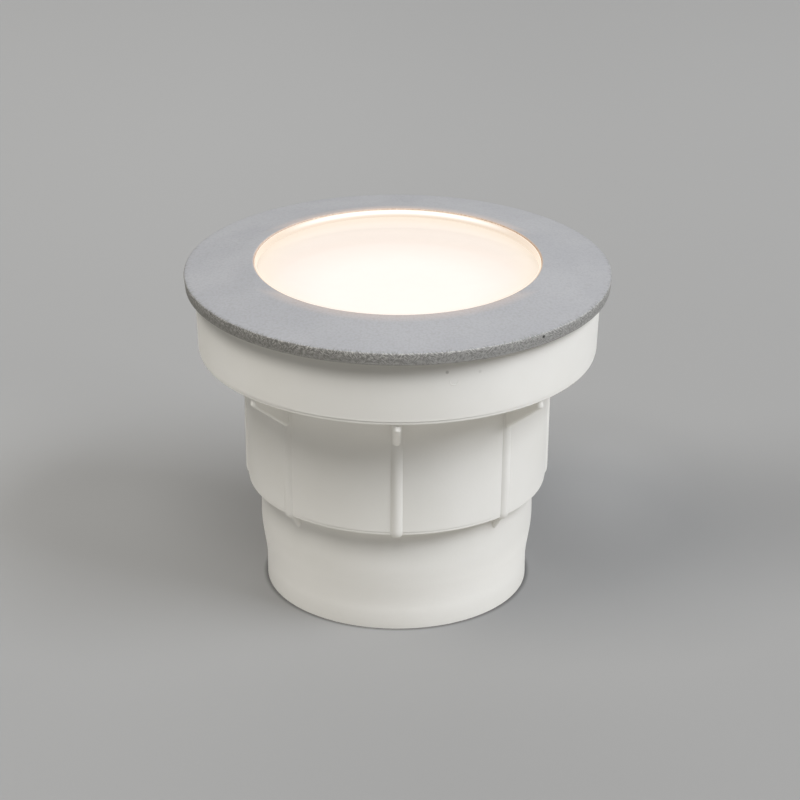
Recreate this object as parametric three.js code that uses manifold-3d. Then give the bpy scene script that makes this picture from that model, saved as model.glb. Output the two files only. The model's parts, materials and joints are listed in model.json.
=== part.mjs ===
// A recessed pathway light: a white sleeve that is set into the ground, and in it a sealed
// luminaire with a grey bezel, a frosted lens and a twist-lock disc lamp.
// Millimetres, +Z up. The origin is the centre of the sleeve's foot.
import * as THREE from 'three';
import { mergeVertices } from 'three/addons/utils/BufferGeometryUtils.js';
import Module from 'manifold-3d';

// Recess sleeve: its middle and its collar follow the lamp and the housing that they hold
const neckNarrowing = 1.55;
const neckBottom = 5.8;
const neckTop = 20;
const stepWidth = 3.65;
const lowerHeight = 32;
const middleDraft = 0.5;
const collarDraft = 0.7;
const collarHeight = 18.75;
const sleeveWall = 2;
const sleeveRound = 0.3;

// Ribs and gussets of the sleeve
const ribCount = 8;
const ribWidth = 3.4;
const ribHeight = 0.65;
const ribFoot = 0.7;
const webThickness = 2.4;
const gussetInset = 0.9;
const gussetDrop = 12.2;
const gussetToe = 2.4;
const stepGussetInset = 0.65;
const stepGussetDrop = 6.5;

// Keys on the sleeve's shelf, which stop the lamp housing from turning
const keyCount = 3;
const keyWidth = 6;
const keyDepth = 1.7;
const keyHeight = 3;

// Clearances
const seatGap = 0.3;
const closeGap = 0.1;
const housingClearance = 0.8;
const keyClearance = 0.4;
const lampClearance = 0.6;
const boreGap = 0.35;

// Bezel ring
const bezelOverhang = 3;
const bezelEdgeHeight = 3.3;
const bezelShoulder = 0.5;
const bezelRise = 2.9;
const bezelDraft = 0.3;
const bezelRound = 0.5;
const bezelLipDrop = 0.3;
const lipThickness = 1.7;
const lipRound = 0.4;

// Lens, its gasket and its retainer
const openingMargin = 3;
const lensLap = 3.1;
const lensThickness = 5;
const gasketThickness = 0.6;
const gasketRimWidth = 0.6;
const retainerInset = 0.6;
const retainerClearance = 0.5;
const retainerThickness = 1.8;
const retainerScrewCount = 4;
const retainerScrewRadius = 1;
const retainerScrewHeadRadius = 1.75;
const retainerScrewHead = 1.4;
const retainerScrewLength = 5.2;
const screwCrownShare = 0.7;

// Bayonet between the bezel and the lamp housing
const pocketWall = 4.3;
const skirtWall = 1.6;
const lugCount = 3;
const lugSpan = 23;
const lugHeight = 2.5;
const lugDepth = 1.4;
const tabDepth = 1.6;
const tabThickness = 2;
const tabDrop = 1;
const stopSpan = 3;
const stopGap = 0.4;

// Seal between the bezel and the lamp housing
const sealSection = 1.1;
const sealGroove = 2;

// Lamp housing
const housingWall = 2;
const headWall = 1.8;
const housingRound = 3;
const floorThickness = 2.4;
const floorClearance = 1;

// Reflector round the lamp
const reflectorWall = 1.2;
const reflectorClearance = 0.9;

// Disc lamp
const lampDiameter = 74.6;
const lampHeight = 24.4;
const lampHeadroom = 1.3;
const lampWall = 1.8;
const lampFloor = 2;
const bossMargin = 8.2;
const lampBossDrop = 5.4;
const lampRimStep = 0.4;
const coverHeight = 8.4;
const coverWall = 1.5;
const coverRound = 2.4;
const boardThickness = 1.5;
const ledSize = 2.8;
const ledHeight = 0.7;
const ledRings = [{ count: 9, radiusShare: 0.66 }, { count: 4, radiusShare: 0.28 }];
const driverMargin = 5;
const driverThickness = 1.6;
const capacitorRadius = 4;
const capacitorHeight = 7.6;
const coilSize = 9;
const coilHeight = 6.5;

// Lamp pins and their slots in the lampholder
const pinInset = 10.8;
const pinHeadRadius = 2.4;
const pinHeadHeight = 2.2;
const pinNeckRadius = 1.5;
const pinLength = 6.2;
const pinFlangeRadius = 2.4;
const pinFlangeHeight = 1;
const pinEdge = 0.45;
const twistAngle = 16;

// Lampholder
const holderInset = 0.3;
const bossClearance = 1;
const holderHeight = 12.4;
const holderSkin = 3;
const holderBackThickness = 1.8;
const holderScrewInset = 6;
const holderScrewAzimuth = 45;
const contactThickness = 0.8;
const contactWidth = 4;
const contactTail = 5;
const tailSpan = 5;

// Screws of the lampholder and their posts
const screwRadius = 1.45;
const screwHeadRadius = 2.9;
const screwHead = 2;
const screwBite = 7;
const postRadius = 4;

// Terminal block
const blockLength = 16;
const blockWidth = 22;
const blockHeight = 10.6;
const blockOffset = 13;
const blockHeadroom = 0.8;
const poleSpacing = 9.5;
const barrelRadius = 2.9;
const barrelBore = 1.7;
const barrelInset = 1;
const terminalScrewRadius = 1;
const terminalScrewHeadRadius = 1.7;
const terminalScrewHead = 1.6;
const terminalScrewPitch = 7;
const fixingScrewRadius = 0.9;
const fixingScrewHeadRadius = 1.5;
const fixingScrewHead = 1.2;
const fixingBossRadius = 2.4;
const fixingBossHeight = 2.2;

// Inner leads
const leadRadius = 1.1;
const leadSides = 6;

// Cable gland
const glandOffset = 17;
const glandThreadRadius = 7.8;
const glandBarrelRadius = 9.4;
const glandBarrelLength = 8;
const glandHexRadius = 12.7;
const glandFlange = 5;
const glandSealRadius = 6.7;
const glandSealBore = 4.1;
const glandSealLength = 9.5;
const glandThroat = 5;
const oRingSection = 1.8;
const oRingRadius = 10.2;
const locknutHeight = 4;
const locknutRadius = 12;
const threadStandOut = 1;
const nutLength = 16;
const nutMouth = 5.6;
const nutRound = 3;
const nutDomeShare = 0.86;
const nutFlatsShare = 0.67;

// Faces of the round pieces
const ringSegments = 48;
const innerSegments = 28;
const glandSegments = 20;
const smallSegments = 12;
const screwSegments = 8;
const arcSteps = 3;
const neckSteps = 4;
const cutOverrun = 1;

// Heights that follow from the sizes above, from the sleeve's step up to the bezel
const housingBottom = lowerHeight + sleeveWall + floorClearance;
const housingFloor = housingBottom + floorThickness;
const blockBottom = housingFloor + seatGap;
const blockTop = blockBottom + blockHeight;
const holderBackBottom = blockTop + blockHeadroom;
const holderBackTop = holderBackBottom + holderBackThickness;
const holderBottom = holderBackTop + seatGap;
const holderTop = holderBottom + holderHeight;
const postTop = holderBackBottom - seatGap;
const lampBottom = holderTop + seatGap;
const lampTop = lampBottom + lampHeight;
const pinTip = lampBottom - pinLength;
const contactTop = pinTip - seatGap;
const lensBottom = lampTop + lampHeadroom;
const lensTop = lensBottom + lensThickness;
const gasketTop = lensTop + closeGap + gasketThickness;
const lipUnderside = gasketTop + closeGap;
const bezelTop = lipUnderside + lipThickness;
const bezelEdgeTop = bezelTop - bezelRise - bezelShoulder;
const bezelLip = bezelEdgeTop - bezelEdgeHeight;
const bezelSeat = bezelLip + bezelLipDrop;
const rimHeight = bezelSeat - seatGap;
const shelfUnderside = rimHeight - collarHeight;
const shelfTop = shelfUnderside + sleeveWall;
const shoulderBottom = shelfTop + seatGap;
const shoulderTop = shoulderBottom + housingWall;
const retainerTop = lensBottom - closeGap;
const retainerBottom = retainerTop - retainerThickness;
const tabTop = rimHeight - tabDrop;
const tabBottom = tabTop - tabThickness;
const skirtBottom = tabBottom - seatGap - lugHeight;

// Radii that follow from the sizes above, from the lamp outwards
const lampRadius = lampDiameter / 2;
const pinRadius = lampRadius - pinInset;
const lampBoss = pinRadius - bossMargin;
const driverRadius = pinRadius - driverMargin;
const holderBore = lampBoss + bossClearance;
const holderRadius = lampRadius - holderInset;
const holderScrewCircle = holderRadius - holderScrewInset;
const bowlInnerRadius = lampRadius + lampClearance;
const bowlRadius = bowlInnerRadius + housingWall;
const middleRadius = bowlRadius + housingClearance + sleeveWall;
const lowerRadius = middleRadius - stepWidth;
const footRadius = lowerRadius - neckNarrowing;
const openingRadius = lampRadius + openingMargin;
const lensRadius = openingRadius + lensLap;
const lensPocketRadius = lensRadius + keyClearance;
const skirtInnerRadius = lensPocketRadius + pocketWall;
const skirtRadius = skirtInnerRadius + skirtWall;
const tabInnerRadius = skirtRadius + keyClearance;
const headInnerRadius = tabInnerRadius + tabDepth;
const headRadius = headInnerRadius + headWall;
const collarRadius = headRadius + housingClearance + sleeveWall;
const bezelRadius = collarRadius + collarDraft + bezelOverhang;
const retainerInnerRadius = openingRadius + retainerInset;
const retainerScrewCircle = (lensPocketRadius + skirtInnerRadius) / 2;
const lampAxisSides = [0, 180];

const degree = Math.PI / 180;
const fullTurn = 360;

const wasm = await Module();
wasm.setup();

// Triangles that lost a corner at the axis are left out of a merged geometry.
function withoutSlivers(geometry) {
  const corners = geometry.index.array;
  const kept = [];
  for (let i = 0; i < corners.length; i += 3) {
    const [a, b, c] = corners.slice(i, i + 3);
    if (a !== b && b !== c && c !== a) kept.push(a, b, c);
  }
  return Uint32Array.from(kept);
}

function toSolid(geometry) {
  const bare = geometry.clone();
  bare.deleteAttribute('normal');
  bare.deleteAttribute('uv');
  const merged = mergeVertices(bare);
  return new wasm.Manifold(new wasm.Mesh({
    numProp: 3,
    vertProperties: Float32Array.from(merged.attributes.position.array),
    triVerts: withoutSlivers(merged),
  }));
}

function toGeometry(solid) {
  const mesh = solid.getMesh();
  const geometry = new THREE.BufferGeometry();
  geometry.setAttribute('position', new THREE.BufferAttribute(mesh.vertProperties, 3));
  geometry.setIndex(new THREE.BufferAttribute(mesh.triVerts, 1));
  geometry.computeVertexNormals();
  return geometry;
}

function join(...geometries) {
  return toGeometry(geometries.map(toSolid).reduce((all, next) => all.add(next)));
}

function cut(body, ...tools) {
  return toGeometry(tools.map(toSolid).reduce((rest, tool) => rest.subtract(tool), toSolid(body)));
}

// A profile of [radius, height] points, anticlockwise, turned about the Z axis
function revolve(profile, segments) {
  const closed = profile[0][0] === 0 ? profile : [...profile, profile[0]];
  const points = closed.map(([radius, height]) => new THREE.Vector2(radius, height));
  return join(new THREE.LatheGeometry(points, segments).rotateX(Math.PI / 2));
}

// Points of a rounded corner of a profile, from one direction to another in degrees
function roundCorner(radius, height, round, from, to, steps = arcSteps) {
  return Array.from({ length: steps + 1 }, (_, i) => {
    const angle = (from + ((to - from) * i) / steps) * degree;
    return [radius + round * Math.cos(angle), height + round * Math.sin(angle)];
  });
}

function cylinder(radius, bottom, top, segments = smallSegments) {
  const shape = new THREE.CylinderGeometry(radius, radius, top - bottom, segments);
  return shape.rotateX(Math.PI / 2).translate(0, 0, (top + bottom) / 2);
}

function hexPrism(radius, bottom, top) {
  return cylinder(radius, bottom, top, 6);
}

// A flat ring with square edges
function washer(innerRadius, outerRadius, bottom, top, segments) {
  const profile = [[innerRadius, bottom], [outerRadius, bottom], [outerRadius, top], [innerRadius, top]];
  return revolve(profile, segments);
}

// A ring of round section, centred on a height
function oRing(radius, section, height, segments) {
  return revolve(roundCorner(radius, height, section / 2, -180, 120, 5), segments);
}

function box(length, width, height) {
  return new THREE.BoxGeometry(length, width, height);
}

// An upright block that follows the circle between two angles in degrees
function arcBlock(innerRadius, outerRadius, from, to, bottom, top) {
  const shape = new THREE.Shape();
  shape.absarc(0, 0, outerRadius, from * degree, to * degree, false);
  shape.absarc(0, 0, innerRadius, to * degree, from * degree, true);
  shape.closePath();
  const settings = { depth: top - bottom, bevelEnabled: false, curveSegments: arcSteps };
  return new THREE.ExtrudeGeometry(shape, settings).translate(0, 0, bottom);
}

// An upright web in the radial plane, from a profile of [radius, height] points
function radialWeb(profile, thickness) {
  const shape = new THREE.Shape(profile.map(([radius, height]) => new THREE.Vector2(radius, height)));
  const web = new THREE.ExtrudeGeometry(shape, { depth: thickness, bevelEnabled: false });
  return web.translate(0, 0, -thickness / 2).rotateX(Math.PI / 2);
}

function turned(geometry, azimuth) {
  return geometry.clone().rotateZ(azimuth * degree);
}

function aroundAxis(count, offset = 0) {
  return Array.from({ length: count }, (_, i) => offset + (i * fullTurn) / count);
}

function onCircle(radius, azimuth) {
  return [radius * Math.cos(azimuth * degree), radius * Math.sin(azimuth * degree)];
}

// Where the repeated pieces stand round the axis, in degrees
const keyAzimuths = aroundAxis(keyCount, 90);
const lugAzimuths = aroundAxis(lugCount, 30);
const retainerScrewAzimuths = aroundAxis(retainerScrewCount, 45);
const holderScrewAzimuths = [holderScrewAzimuth, holderScrewAzimuth + fullTurn / 2];

const light = new THREE.Group();

function place(name, geometry, material) {
  const mesh = new THREE.Mesh(geometry, material);
  mesh.name = name;
  light.add(mesh);
}

function plastic(colour, roughness) {
  return new THREE.MeshStandardMaterial({ color: colour, roughness, metalness: 0 });
}

function metal(colour, roughness) {
  return new THREE.MeshStandardMaterial({ color: colour, roughness, metalness: 1 });
}

const whiteMoulding = () => plastic(0xe9e6dd, 0.55);
const greyGrain = () => plastic(0xa3a5a8, 0.7);
const darkMoulding = () => plastic(0x3a3c3f, 0.6);
const whiteGloss = () => plastic(0xf4f2ec, 0.35);
const blackRubber = () => plastic(0x1d1d1f, 0.85);
const opal = () => plastic(0xfffaf0, 0.45);
const frostedGlass = () => plastic(0xfff1df, 0.5);
const clearSilicone = () => plastic(0xf3ead9, 0.45);
const stainlessSteel = () => metal(0xc3c6c9, 0.3);
const brass = () => metal(0xc9a75a, 0.35);
const boardAluminium = () => metal(0xd8dadb, 0.45);
const boardGreen = () => plastic(0x2f5d3d, 0.6);
const leadInsulation = (colour) => plastic(colour, 0.5);

// The neck widens from the foot to the lower wall along a smooth curve.
function neckPoints(inset) {
  return Array.from({ length: neckSteps + 1 }, (_, i) => {
    const rise = i / neckSteps;
    const widening = rise * rise * (3 - 2 * rise);
    const radius = footRadius + (lowerRadius - footRadius) * widening - inset;
    return [radius, neckBottom + (neckTop - neckBottom) * rise];
  });
}

function sleeveShell() {
  const round = sleeveRound;
  return revolve([
    ...roundCorner(footRadius - round / 2, round / 2, round / 2, -90, 0, 1),
    ...neckPoints(0),
    [lowerRadius, lowerHeight],
    ...roundCorner(middleRadius - round, lowerHeight + round, round, -90, 0),
    [middleRadius + middleDraft, shelfUnderside],
    ...roundCorner(collarRadius - round, shelfUnderside + round, round, -90, 0),
    [collarRadius + collarDraft, rimHeight],
    [collarRadius + collarDraft - sleeveWall, rimHeight],
    [collarRadius - sleeveWall, shelfTop],
    [middleRadius + middleDraft - sleeveWall, shelfTop],
    [middleRadius - sleeveWall, lowerHeight + sleeveWall],
    [lowerRadius - sleeveWall, lowerHeight + sleeveWall],
    ...neckPoints(sleeveWall).reverse(),
    [footRadius - sleeveWall, 0],
  ], ringSegments);
}

// A rounded bead that leans with the middle wall and ends just under its lower edge
function ribBead() {
  const top = shelfUnderside + sleeveWall / 2;
  const bottom = lowerHeight + ribFoot;
  const section = new THREE.Shape();
  section.absellipse(0, 0, ribHeight, ribWidth / 2, 0, fullTurn * degree);
  const bead = new THREE.ExtrudeGeometry(section, {
    depth: top - bottom, bevelEnabled: false, curveSegments: arcSteps,
  }).translate(0, 0, bottom);
  const foot = new THREE.SphereGeometry(1, 8, 4).scale(ribHeight, ribWidth / 2, 2 * ribFoot);
  const lean = middleDraft / (shelfUnderside - lowerHeight);
  const leaning = new THREE.Matrix4().makeShear(0, 0, 0, 0, lean, 0);
  const straight = join(bead, foot.translate(0, 0, bottom));
  return straight.applyMatrix4(leaning).translate(middleRadius - lean * lowerHeight, 0, 0);
}

// The triangular web between the collar's underside and the middle wall
function collarGusset() {
  const wall = middleRadius + middleDraft;
  const end = collarRadius - gussetInset;
  return radialWeb([
    [wall - sleeveWall / 2, shelfUnderside + sleeveWall / 2],
    [end, shelfUnderside + sleeveWall / 2],
    [end, shelfUnderside - gussetToe],
    [wall, shelfUnderside - gussetDrop],
    [wall - sleeveWall / 2, shelfUnderside - gussetDrop],
  ], webThickness);
}

function stepGusset() {
  const end = middleRadius - stepGussetInset;
  return radialWeb([
    [lowerRadius - sleeveWall / 2, lowerHeight + sleeveWall / 2],
    [end, lowerHeight + sleeveWall / 2],
    [end, lowerHeight],
    [lowerRadius, lowerHeight - stepGussetDrop],
    [lowerRadius - sleeveWall / 2, lowerHeight - stepGussetDrop],
  ], webThickness);
}

// The angle that a width takes up on a circle, in degrees
function spanOf(width, radius) {
  return width / radius / degree;
}

function shelfKey(azimuth, depth, clearance, bottom, top) {
  const outer = collarRadius - sleeveWall;
  const half = spanOf(keyWidth / 2 + clearance, outer);
  const reach = outer + sleeveWall / 2;
  return arcBlock(outer - depth, reach, azimuth - half, azimuth + half, bottom, top);
}

function recessSleeve() {
  const ribs = aroundAxis(ribCount, 90).flatMap((azimuth) => [
    turned(ribBead(), azimuth), turned(collarGusset(), azimuth), turned(stepGusset(), azimuth),
  ]);
  const keys = keyAzimuths.map((azimuth) => (
    shelfKey(azimuth, keyDepth, 0, shelfTop - sleeveWall / 2, shelfTop + keyHeight)));
  return join(sleeveShell(), ...ribs, ...keys);
}

// An inward tab of the bayonet, with the stop that the bezel's lug closes against
function bayonetTab(azimuth) {
  const half = lugSpan / 2;
  const root = headInnerRadius + headWall / 2;
  const stopEnd = azimuth - half - stopGap;
  return join(
    arcBlock(tabInnerRadius, root, stopEnd - stopSpan, azimuth + half, tabBottom, tabTop),
    arcBlock(tabInnerRadius, root, stopEnd - stopSpan, stopEnd, skirtBottom, tabTop),
  );
}

function housingShell() {
  return revolve([
    [0, housingBottom],
    ...roundCorner(bowlRadius - housingRound, housingBottom + housingRound, housingRound, -90, 0),
    [bowlRadius, shoulderBottom],
    ...roundCorner(headRadius - headWall / 2, shoulderBottom + headWall / 2, headWall / 2, -90, 0, 2),
    [headRadius, rimHeight],
    [headInnerRadius, rimHeight],
    [headInnerRadius, shoulderTop],
    [bowlInnerRadius, shoulderTop],
    [bowlInnerRadius, housingFloor],
    [0, housingFloor],
  ], innerSegments);
}

// A hollow post for a screw, standing in the housing's floor
function screwPost(radius, top, x, y) {
  return cylinder(radius, housingFloor - floorThickness / 2, top).translate(x, y, 0);
}

function lampHousing() {
  const posts = holderScrewAzimuths.map((azimuth) => (
    screwPost(postRadius, postTop, ...onCircle(holderScrewCircle, azimuth))));
  const fixingBoss = screwPost(fixingBossRadius, housingFloor + fixingBossHeight, 0, -blockOffset);
  const pilots = holderScrewAzimuths.map((azimuth) => {
    const hole = cylinder(screwRadius + boreGap, postTop - screwBite - cutOverrun, postTop + cutOverrun);
    return hole.translate(...onCircle(holderScrewCircle, azimuth), 0);
  });
  const fixingPilot = cylinder(
    fixingScrewRadius + boreGap, housingBottom + floorThickness / 2, blockBottom + blockHeight,
  ).translate(0, -blockOffset, 0);
  const inlet = cylinder(glandThreadRadius + boreGap, housingBottom - cutOverrun,
    housingFloor + cutOverrun, glandSegments).translate(0, glandOffset, 0);
  const notches = keyAzimuths.map((azimuth) => shelfKey(azimuth, keyDepth + keyClearance, keyClearance,
    shoulderBottom - cutOverrun, shelfTop + keyHeight + keyClearance));
  const moulding = join(housingShell(), ...lugAzimuths.map(bayonetTab), ...posts, fixingBoss);
  return cut(moulding, ...pilots, fixingPilot, inlet, ...notches);
}

// The bezel's outer lip hangs beside the collar and rests on the ground round it.
function bezelRing() {
  const lipInnerRadius = collarRadius + collarDraft + keyClearance;
  const shoulderRadius = bezelRadius - bezelShoulder;
  const sealRadius = (headRadius + headInnerRadius) / 2;
  const grooveTop = bezelSeat + sealSection;
  const ring = revolve([
    ...roundCorner(bezelRadius - bezelDraft - bezelRound, bezelLip + bezelRound, bezelRound, -90, 0, 2),
    ...roundCorner(shoulderRadius, bezelEdgeTop, bezelShoulder, 0, 80),
    ...roundCorner(openingRadius + lipRound, bezelTop - lipRound, lipRound, 90, 180, 2),
    [openingRadius, lipUnderside],
    [lensPocketRadius, lipUnderside],
    [lensPocketRadius, lensBottom],
    [skirtInnerRadius, lensBottom],
    [skirtInnerRadius, skirtBottom],
    [skirtRadius, skirtBottom],
    [skirtRadius, bezelSeat],
    [sealRadius - sealGroove / 2, bezelSeat],
    [sealRadius - sealGroove / 2, grooveTop],
    [sealRadius + sealGroove / 2, grooveTop],
    [sealRadius + sealGroove / 2, bezelSeat],
    [lipInnerRadius, bezelSeat],
    [lipInnerRadius, bezelLip],
  ], ringSegments);
  const lugs = lugAzimuths.map((azimuth) => arcBlock(skirtRadius - skirtWall / 2, skirtRadius + lugDepth,
    azimuth - lugSpan / 2, azimuth + lugSpan / 2, skirtBottom, skirtBottom + lugHeight));
  const holes = retainerScrewAzimuths.map((azimuth) => {
    const depth = retainerScrewLength - retainerThickness + boreGap;
    const hole = cylinder(retainerScrewRadius + boreGap, lensBottom - cutOverrun, lensBottom + depth,
      screwSegments);
    return hole.translate(...onCircle(retainerScrewCircle, azimuth), 0);
  });
  return cut(join(ring, ...lugs), ...holes);
}

function bezelSeal() {
  const radius = (headRadius + headInnerRadius) / 2;
  return oRing(radius, sealSection, bezelSeat + sealSection / 2 - closeGap, innerSegments);
}

// The lens gasket is clear silicone. It lies on the lens and lines the opening with a thin rim.
function lensGasket() {
  const rimRadius = openingRadius - closeGap;
  return revolve([
    [rimRadius - gasketRimWidth, gasketTop - gasketThickness],
    [lensRadius, gasketTop - gasketThickness],
    [lensRadius, gasketTop],
    [rimRadius, gasketTop],
    [rimRadius, bezelTop - seatGap],
    [rimRadius - gasketRimWidth, bezelTop - seatGap],
  ], ringSegments);
}

// The lens has a small bevel round both faces.
function lensDisc() {
  return revolve([
    [0, lensBottom],
    [lensRadius - lipRound, lensBottom],
    [lensRadius, lensBottom + lipRound],
    [lensRadius, lensTop - lipRound],
    [lensRadius - lipRound, lensTop],
    [0, lensTop],
  ], ringSegments);
}

function lensRetainer() {
  const outer = skirtInnerRadius - retainerClearance;
  const ring = washer(retainerInnerRadius, outer, retainerBottom, retainerTop, ringSegments);
  const holes = retainerScrewAzimuths.map((azimuth) => {
    const hole = cylinder(retainerScrewRadius + boreGap, retainerBottom - cutOverrun,
      retainerTop + cutOverrun, screwSegments);
    return hole.translate(...onCircle(retainerScrewCircle, azimuth), 0);
  });
  return cut(ring, ...holes);
}

// A screw with a domed head, pointing down (or up) from the face that its head sits on
function screw(radius, headRadius, headHeight, length, seat, pointsUp = false) {
  const shape = revolve([
    [0, -length],
    [radius, -length + radius],
    [radius, 0],
    [headRadius, 0],
    [headRadius, headHeight / 2],
    [headRadius * screwCrownShare, headHeight],
    [0, headHeight],
  ], screwSegments);
  if (pointsUp) shape.rotateX(Math.PI);
  return shape.translate(0, 0, seat);
}

function reflectorCone() {
  const outer = skirtInnerRadius - lampClearance;
  const top = retainerBottom - retainerScrewHead - reflectorClearance;
  const foot = shoulderTop + seatGap;
  const inner = lampRadius + reflectorClearance;
  const brim = shoulderTop + reflectorClearance;
  return revolve([
    [outer - reflectorWall, foot],
    [outer, foot],
    [outer, top],
    [outer - reflectorWall, top],
    [inner, brim + reflectorWall],
    [inner, brim],
    [inner + reflectorWall, brim],
    [outer - reflectorWall, top - 2 * reflectorWall],
  ], innerSegments);
}

// The plane between the lamp's base and its cover
const coverSeat = lampTop - coverHeight;

// The lamp's base, pierced where its pins pass through
function lampBase() {
  const inner = lampRadius - lampWall;
  const ledge = coverSeat - ledHeight - boardThickness;
  const round = lampFloor / 2;
  const bossBottom = lampBottom - lampBossDrop;
  const shell = revolve([
    [0, bossBottom],
    ...roundCorner(lampBoss - round, bossBottom + round, round, -90, 0, 2),
    [lampBoss, lampBottom],
    ...roundCorner(lampRadius - round, lampBottom + round, round, -90, 0, 2),
    [lampRadius, coverSeat - seatGap],
    [inner, coverSeat - seatGap],
    [inner, ledge],
    [inner - lampWall, ledge],
    [inner - lampWall, lampBottom + lampFloor],
    [lampBoss - lampFloor, lampBottom + lampFloor],
    [lampBoss - lampFloor, bossBottom + lampFloor],
    [0, bossBottom + lampFloor],
  ], innerSegments);
  const holes = lampAxisSides.map((azimuth) => {
    const hole = cylinder(pinNeckRadius + boreGap, bossBottom, lampBottom + lampFloor + cutOverrun);
    return hole.translate(...onCircle(pinRadius, azimuth), 0);
  });
  return cut(shell, ...holes);
}

function lampPin() {
  const flangeBottom = lampBottom + lampFloor + closeGap;
  return revolve([
    [0, pinTip],
    [pinHeadRadius - pinEdge, pinTip],
    [pinHeadRadius, pinTip + pinEdge],
    [pinHeadRadius, pinTip + pinHeadHeight],
    [pinNeckRadius, pinTip + pinHeadHeight],
    [pinNeckRadius, flangeBottom],
    [pinFlangeRadius, flangeBottom],
    [pinFlangeRadius, flangeBottom + pinFlangeHeight],
    [0, flangeBottom + pinFlangeHeight],
  ], screwSegments);
}

function lampCover() {
  const outer = lampRadius - lampRimStep;
  const top = lampTop;
  return revolve([
    [outer - coverWall, coverSeat],
    [outer, coverSeat],
    ...roundCorner(outer - coverRound, top - coverRound, coverRound, 0, 90, 4),
    [0, top],
    [0, top - coverWall],
    [outer - coverRound, top - coverWall],
    [outer - coverWall, top - coverRound],
  ], innerSegments);
}

// The round board with its light-emitting chips
function lampBoard() {
  const radius = lampRadius - lampWall - seatGap;
  const top = coverSeat - ledHeight;
  const chips = ledRings.flatMap(({ count, radiusShare }) => aroundAxis(count).map((azimuth) => (
    box(ledSize, ledSize, 2 * ledHeight).translate(radius * radiusShare, 0, top)
      .rotateZ(azimuth * degree))));
  return join(cylinder(radius, top - boardThickness + closeGap, top, innerSegments), ...chips);
}

function lampDriver() {
  const bottom = lampBottom + lampFloor + seatGap;
  const top = bottom + driverThickness;
  const sink = driverThickness / 2;
  const board = cylinder(driverRadius, bottom, top, innerSegments);
  const capacitor = cylinder(capacitorRadius, top - sink, top + capacitorHeight);
  const coil = box(coilSize, coilSize, coilHeight + sink);
  return join(
    board,
    capacitor.translate(-driverRadius / 2, 0, 0),
    coil.translate(driverRadius / 2, 0, top + (coilHeight - sink) / 2),
  );
}

// The keyhole slot of one lamp pin: a round entry, a narrow track and a wide pocket under the skin
function pinSlot(azimuth) {
  const entry = azimuth + twistAngle;
  const wide = pinHeadRadius + lampClearance;
  const narrow = pinNeckRadius + boreGap;
  const wideSpan = spanOf(wide, pinRadius);
  const pocketTop = holderTop - holderSkin;
  return [
    cylinder(wide, pocketTop - cutOverrun, holderTop + cutOverrun)
      .translate(...onCircle(pinRadius, entry), 0),
    arcBlock(pinRadius - narrow, pinRadius + narrow, azimuth - spanOf(narrow, pinRadius), entry,
      pocketTop - cutOverrun, holderTop + cutOverrun),
    arcBlock(pinRadius - wide, pinRadius + wide, azimuth - wideSpan,
      entry + wideSpan + tailSpan, holderBottom - cutOverrun, pocketTop),
  ];
}

function lampholderBase() {
  const edge = lipRound;
  const ring = revolve([
    [holderBore, holderBottom],
    [holderRadius, holderBottom],
    [holderRadius, holderTop - edge],
    [holderRadius - edge, holderTop],
    [holderBore + edge, holderTop],
    [holderBore, holderTop - edge],
  ], innerSegments);
  const screwCuts = holderScrewAzimuths.flatMap((azimuth) => [
    cylinder(screwRadius + boreGap, holderBottom - cutOverrun, holderTop)
      .translate(...onCircle(holderScrewCircle, azimuth), 0),
    cylinder(screwHeadRadius + lampClearance, holderTop - screwHead - seatGap, holderTop + cutOverrun)
      .translate(...onCircle(holderScrewCircle, azimuth), 0),
  ]);
  return cut(ring, ...lampAxisSides.flatMap(pinSlot), ...screwCuts);
}

// The angles between which a contact's tail stands, past the entry of its slot
function tailAngles(azimuth) {
  const end = azimuth + twistAngle + spanOf(pinHeadRadius + lampClearance, pinRadius) + tailSpan;
  return [end - tailSpan, end - spanOf(boreGap, pinRadius)];
}

function lampholderBack() {
  const plate = washer(holderBore, holderRadius - closeGap, holderBackBottom, holderBackTop, innerSegments);
  const screwHoles = holderScrewAzimuths.map((azimuth) => (
    cylinder(screwRadius + boreGap, holderBackBottom - cutOverrun, holderBackTop + cutOverrun)
      .translate(...onCircle(holderScrewCircle, azimuth), 0)));
  const tailSlots = lampAxisSides.map((azimuth) => {
    const [from, to] = tailAngles(azimuth);
    const margin = spanOf(boreGap, pinRadius);
    const half = contactWidth / 2 + boreGap;
    return arcBlock(pinRadius - half, pinRadius + half, from - margin, to + margin,
      holderBackBottom - cutOverrun, holderBackTop + cutOverrun);
  });
  return cut(plate, ...screwHoles, ...tailSlots);
}

// A brass leaf under the pin's track, with a tail through the lampholder's back
function contact(azimuth) {
  const inner = pinRadius - contactWidth / 2;
  const outer = pinRadius + contactWidth / 2;
  const [from, to] = tailAngles(azimuth);
  const leafStart = azimuth - spanOf(pinHeadRadius, pinRadius);
  return join(
    arcBlock(inner, outer, leafStart, to, contactTop - contactThickness, contactTop),
    arcBlock(inner, outer, from, to, holderBackBottom - contactTail, contactTop),
  );
}

const poleSides = [-1, 1];
const barrelHeight = blockBottom + blockHeight / 2;

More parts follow.
